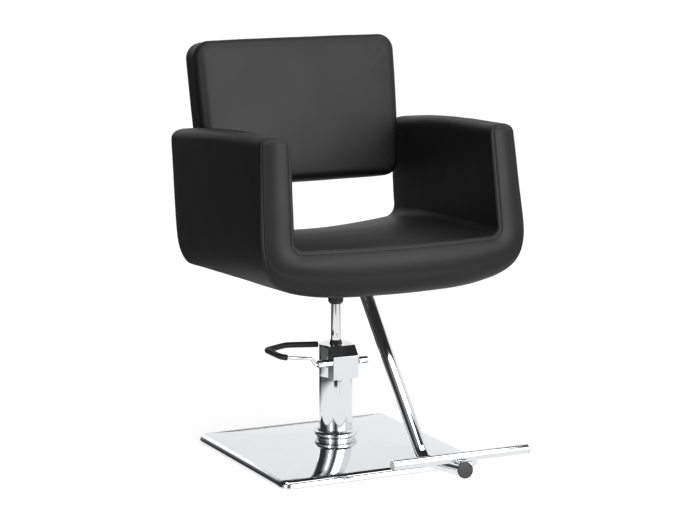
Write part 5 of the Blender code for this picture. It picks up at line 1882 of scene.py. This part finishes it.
def sew(name, grid, seams, flat, swell_limit, covers, node):
    """Cover from a grid: drawn in, swollen by its filling, its seams pulled in, and rounded off.

    seams are sets of grid numbers. Vertices of the set flat, which lie on something, stay where
    they are.
    """
    mesh = surface(name, grid)
    vinyl = bpy.data.materials["pvc_leathercloth"]
    cover = add_piece(name, mesh, vinyl, node)
    numbers = np.empty(len(mesh.vertices), np.int32)
    mesh.attributes["grid"].data.foreach_get("value", numbers)
    seam_vertices = np.flatnonzero(np.isin(numbers, np.concatenate(seams)))
    held = np.union1d(seam_vertices, np.flatnonzero(np.isin(numbers, flat)))
    move_to(mesh, positions(mesh) - normals_of(mesh) * covers.start_inset)
    swell(cover, held, covers.pressure, swell_limit, covers.evening)
    free = np.ones((len(numbers), 1))
    free[seam_vertices] = 0.0
    offset = waves(positions(mesh), covers.waviness) * free - covers.seam_depth * (1.0 - free)
    move_to(mesh, positions(mesh) + normals_of(mesh) * offset)
    # Seam vertices are marked for the vinyl, which paints shade along them; the marks also crease
    # the edges
    marked = np.zeros(len(numbers), np.float32)
    marked[seam_vertices] = 1.0
    seam = mesh.attributes.new("seam", "FLOAT", "POINT")
    seam.data.foreach_set("value", marked)
    folded = marked[edge_ends(mesh)].all(axis=1)
    crease = mesh.attributes.new("crease_edge", "FLOAT", "EDGE")
    crease.data.foreach_set("value", folded.astype(np.float32))
    rounding = cover.modifiers.new("rounding", "SUBSURF")
    rounding.levels = 1
    rounding.render_levels = 1
    where = np.full(grid.shape[0] * grid.shape[1], -1)
    where[numbers] = np.arange(len(numbers))
    return cover, where


def read_along(places, length, rows):
    """Rows that belong to the points of a line, read at places along it."""
    return np.stack([np.interp(places, length, column) for column in rows.T], axis=-1)


def stitches(name, lines, normals, covers, node):
    """Rows of stitches: short closed rods laid end to end along lines, each sunk at its ends.

    A rod is a grid of rings whose radius is a half ellipse along its length. Its axes follow the
    line and the cover's normal there.
    """
    pitch = covers.stitch_length + covers.stitch_gap
    along = np.linspace(-1.0, 1.0, STITCH_RINGS)
    angles = np.arange(STITCH_SIDES) * math.tau / STITCH_SIDES
    radius = covers.thread / 2 * np.sqrt(1.0 - (STITCH_TIP * along) ** 2)
    ring = np.stack([np.cos(angles), np.sin(angles)], axis=-1)
    rod_length = np.repeat(along * covers.stitch_length / 2, STITCH_SIDES)
    rod_side = (radius[:, None, None] * ring).reshape(-1, 2)
    bend = np.repeat(-covers.thread * along**2, STITCH_SIDES)
    index = np.arange(STITCH_RINGS * STITCH_SIDES).reshape(STITCH_RINGS, STITCH_SIDES)
    index = np.concatenate([index, index[:, :1]], axis=1)
    corners = [index[:-1, :-1], index[1:, :-1], index[1:, 1:], index[:-1, 1:]]
    quads = np.stack(corners, axis=-1).reshape(-1, 4)
    caps = [index[0, :-1].tolist(), index[-1, -2::-1].tolist()]
    points = []
    for line, normal in zip(lines, normals):
        length = length_along(line)
        places = np.arange(pitch / 2, length[-1] - pitch / 2, pitch)
        middle = read_along(places, length, line)
        ahead = read_along(places + pitch / 4, length, line)
        out = read_along(places, length, normal)
        tangent = (ahead - middle) / np.linalg.norm(ahead - middle, axis=1, keepdims=True)
        out = out - (out * tangent).sum(axis=1, keepdims=True) * tangent
        out /= np.linalg.norm(out, axis=1, keepdims=True)
        side = np.cross(tangent, out)
        rods = middle[:, None] + tangent[:, None] * rod_length[None, :, None]
        rods = rods + side[:, None] * rod_side[None, :, :1]
        points.append(rods + out[:, None] * (rod_side[None, :, 1:] + bend[None, :, None]))
    points = np.concatenate(points)
    total, size = points.shape[:2]
    shift = (np.arange(total) * size)[:, None, None]
    faces = (quads[None] + shift).reshape(-1, 4).tolist()
    ends = (np.array(caps)[None] + shift).reshape(-1, STITCH_SIDES).tolist()
    mesh = bpy.data.meshes.new(name)
    mesh.from_pydata(points.reshape(-1, 3).tolist(), [], faces + ends)
    mesh.materials.append(bpy.data.materials["polyester_thread"])
    mesh.shade_smooth()
    obj = bpy.data.objects.new(name, mesh)
    bpy.context.scene.collection.objects.link(obj)
    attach(obj, frame["nodes"][node]["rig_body"])


def beside(shoulder, neighbour, offset):
    """Line beside a seam: each point of its shoulder moved towards the next one out."""
    away = neighbour - shoulder
    return shoulder + away / np.linalg.norm(away, axis=1, keepdims=True) * offset


class CHAIR_OT_sew_shell(bpy.types.Operator):
    """Sews the cover of the padded U, with the seams and stitches of its front and rear bands"""

    bl_idname = "chair.sew_shell"
    bl_label = "Sew seat and arms"

    def execute(self, context):
        covers = context.scene.chair_covers
        colours = context.scene.chair_colours
        pvc_leathercloth(colours.vinyl)
        polyester_thread(colours.thread)
        grid = shell_grid()
        rows, columns = grid.shape[:2]
        numbers = np.arange(rows * columns).reshape(rows, columns)
        ahead = HALF_ROWS + top_seam_row
        middle = rows // 2
        first, last = middle - ahead, middle + ahead
        body = slice(first, last + 1)
        seams = [
            numbers[body, INNER_SEAM],
            numbers[body, OUTER_SEAM],
            numbers[body, REAR_OUT_SEAM],
            numbers[body, REAR_IN_SEAM],
        ]
        for row in (first, last):
            seams.append(numbers[row, INNER_SEAM : OUTER_SEAM + 1])
            seams.append(numbers[row, REAR_OUT_SEAM : REAR_IN_SEAM + 1])
        under = np.flatnonzero(grid.reshape(-1, 3)[:, 2] < seat_low + REST_HEIGHT)
        cover, where = sew(
            "seat_shell_cover", grid, seams, under, covers.shell_swell, covers, "seat_shell"
        )
        strips = []
        inside = slice(first + 1, last)
        sides = ((INNER_SEAM, -1), (OUTER_SEAM, 1), (REAR_OUT_SEAM, -1), (REAR_IN_SEAM, 1))
        for seam, step in sides:
            strips.append((numbers[inside, seam + step], numbers[inside, seam + 2 * step]))
        for row, step in ((first, -1), (last, 1)):
            for start, end in ((INNER_SEAM, OUTER_SEAM), (REAR_OUT_SEAM, REAR_IN_SEAM)):
                band = slice(start, end + 1)
                strips.append((numbers[row + step, band], numbers[row + 2 * step, band]))
        places = positions(cover.data)
        normals = normals_of(cover.data)
        lines = []
        directions = []
        for near, far in strips:
            shoulder = where[near]
            lines.append(beside(places[shoulder], places[where[far]], covers.stitch_offset))
            directions.append(normals[shoulder])
        stitches("seat_shell_stitches", lines, directions, covers, "seat_shell")
        return {"FINISHED"}


class CHAIR_OT_sew_pad(bpy.types.Operator):
    """Sews the back pad, with the seams along both edges of its boxing"""

    bl_idname = "chair.sew_pad"
    bl_label = "Sew back pad"

    def execute(self, context):
        covers = context.scene.chair_covers
        grid = pad_grid()
        rows, columns = grid.shape[:2]
        numbers = np.arange(rows * columns).reshape(rows, columns)
        seams = [numbers[PAD_REAR_SEAM], numbers[PAD_FRONT_SEAM]]
        sew("back_pad_cover", grid, seams, [], covers.pad_swell, covers, "back_pad")
        return {"FINISHED"}


class CHAIR_PT_dresser(bpy.types.Panel):
    """Sizes, colours and steps of the chair's covers and finishes"""

    bl_idname = "CHAIR_PT_dresser"
    bl_label = "Chair"
    bl_space_type = "VIEW_3D"
    bl_region_type = "UI"
    bl_category = "Chair"

    def draw(self, context):
        scene = context.scene
        for group in (scene.chair_covers, scene.chair_colours, scene.chair_stage):
            box = self.layout.box()
            for name in group.__annotations__:
                box.prop(group, name)
        for operator in OPERATORS:
            self.layout.operator(operator.bl_idname)


OPERATORS = (
    CHAIR_OT_set_stage,
    CHAIR_OT_plate_base,
    CHAIR_OT_turn_column,
    CHAIR_OT_fit_pump_lever,
    CHAIR_OT_bend_footrest,
    CHAIR_OT_bolt_mount,
    CHAIR_OT_sew_shell,
    CHAIR_OT_sew_pad,
)

# Settings by their names on the scene
GROUPS = {"chair_covers": CoverSizes, "chair_colours": FinishColours, "chair_stage": StageSettings}


def register():
    """Registers the settings, the operators and the panel."""
    for group in (*GROUPS.values(), *OPERATORS, CHAIR_PT_dresser):
        bpy.utils.register_class(group)
    for name, group in GROUPS.items():
        setattr(bpy.types.Scene, name, bpy.props.PointerProperty(type=group))


def unregister():
    """Takes the settings, the operators and the panel off again."""
    for name in GROUPS:
        delattr(bpy.types.Scene, name)
    for group in (CHAIR_PT_dresser, *reversed(OPERATORS), *GROUPS.values()):
        bpy.utils.unregister_class(group)


def main():
    """Dresses the chair step by step."""
    register()
    bpy.ops.chair.set_stage()
    bpy.ops.chair.plate_base()
    bpy.ops.chair.turn_column()
    bpy.ops.chair.fit_pump_lever()
    bpy.ops.chair.bend_footrest()
    bpy.ops.chair.bolt_mount()
    bpy.ops.chair.sew_shell()
    bpy.ops.chair.sew_pad()


if __name__ == "__main__":
    main()
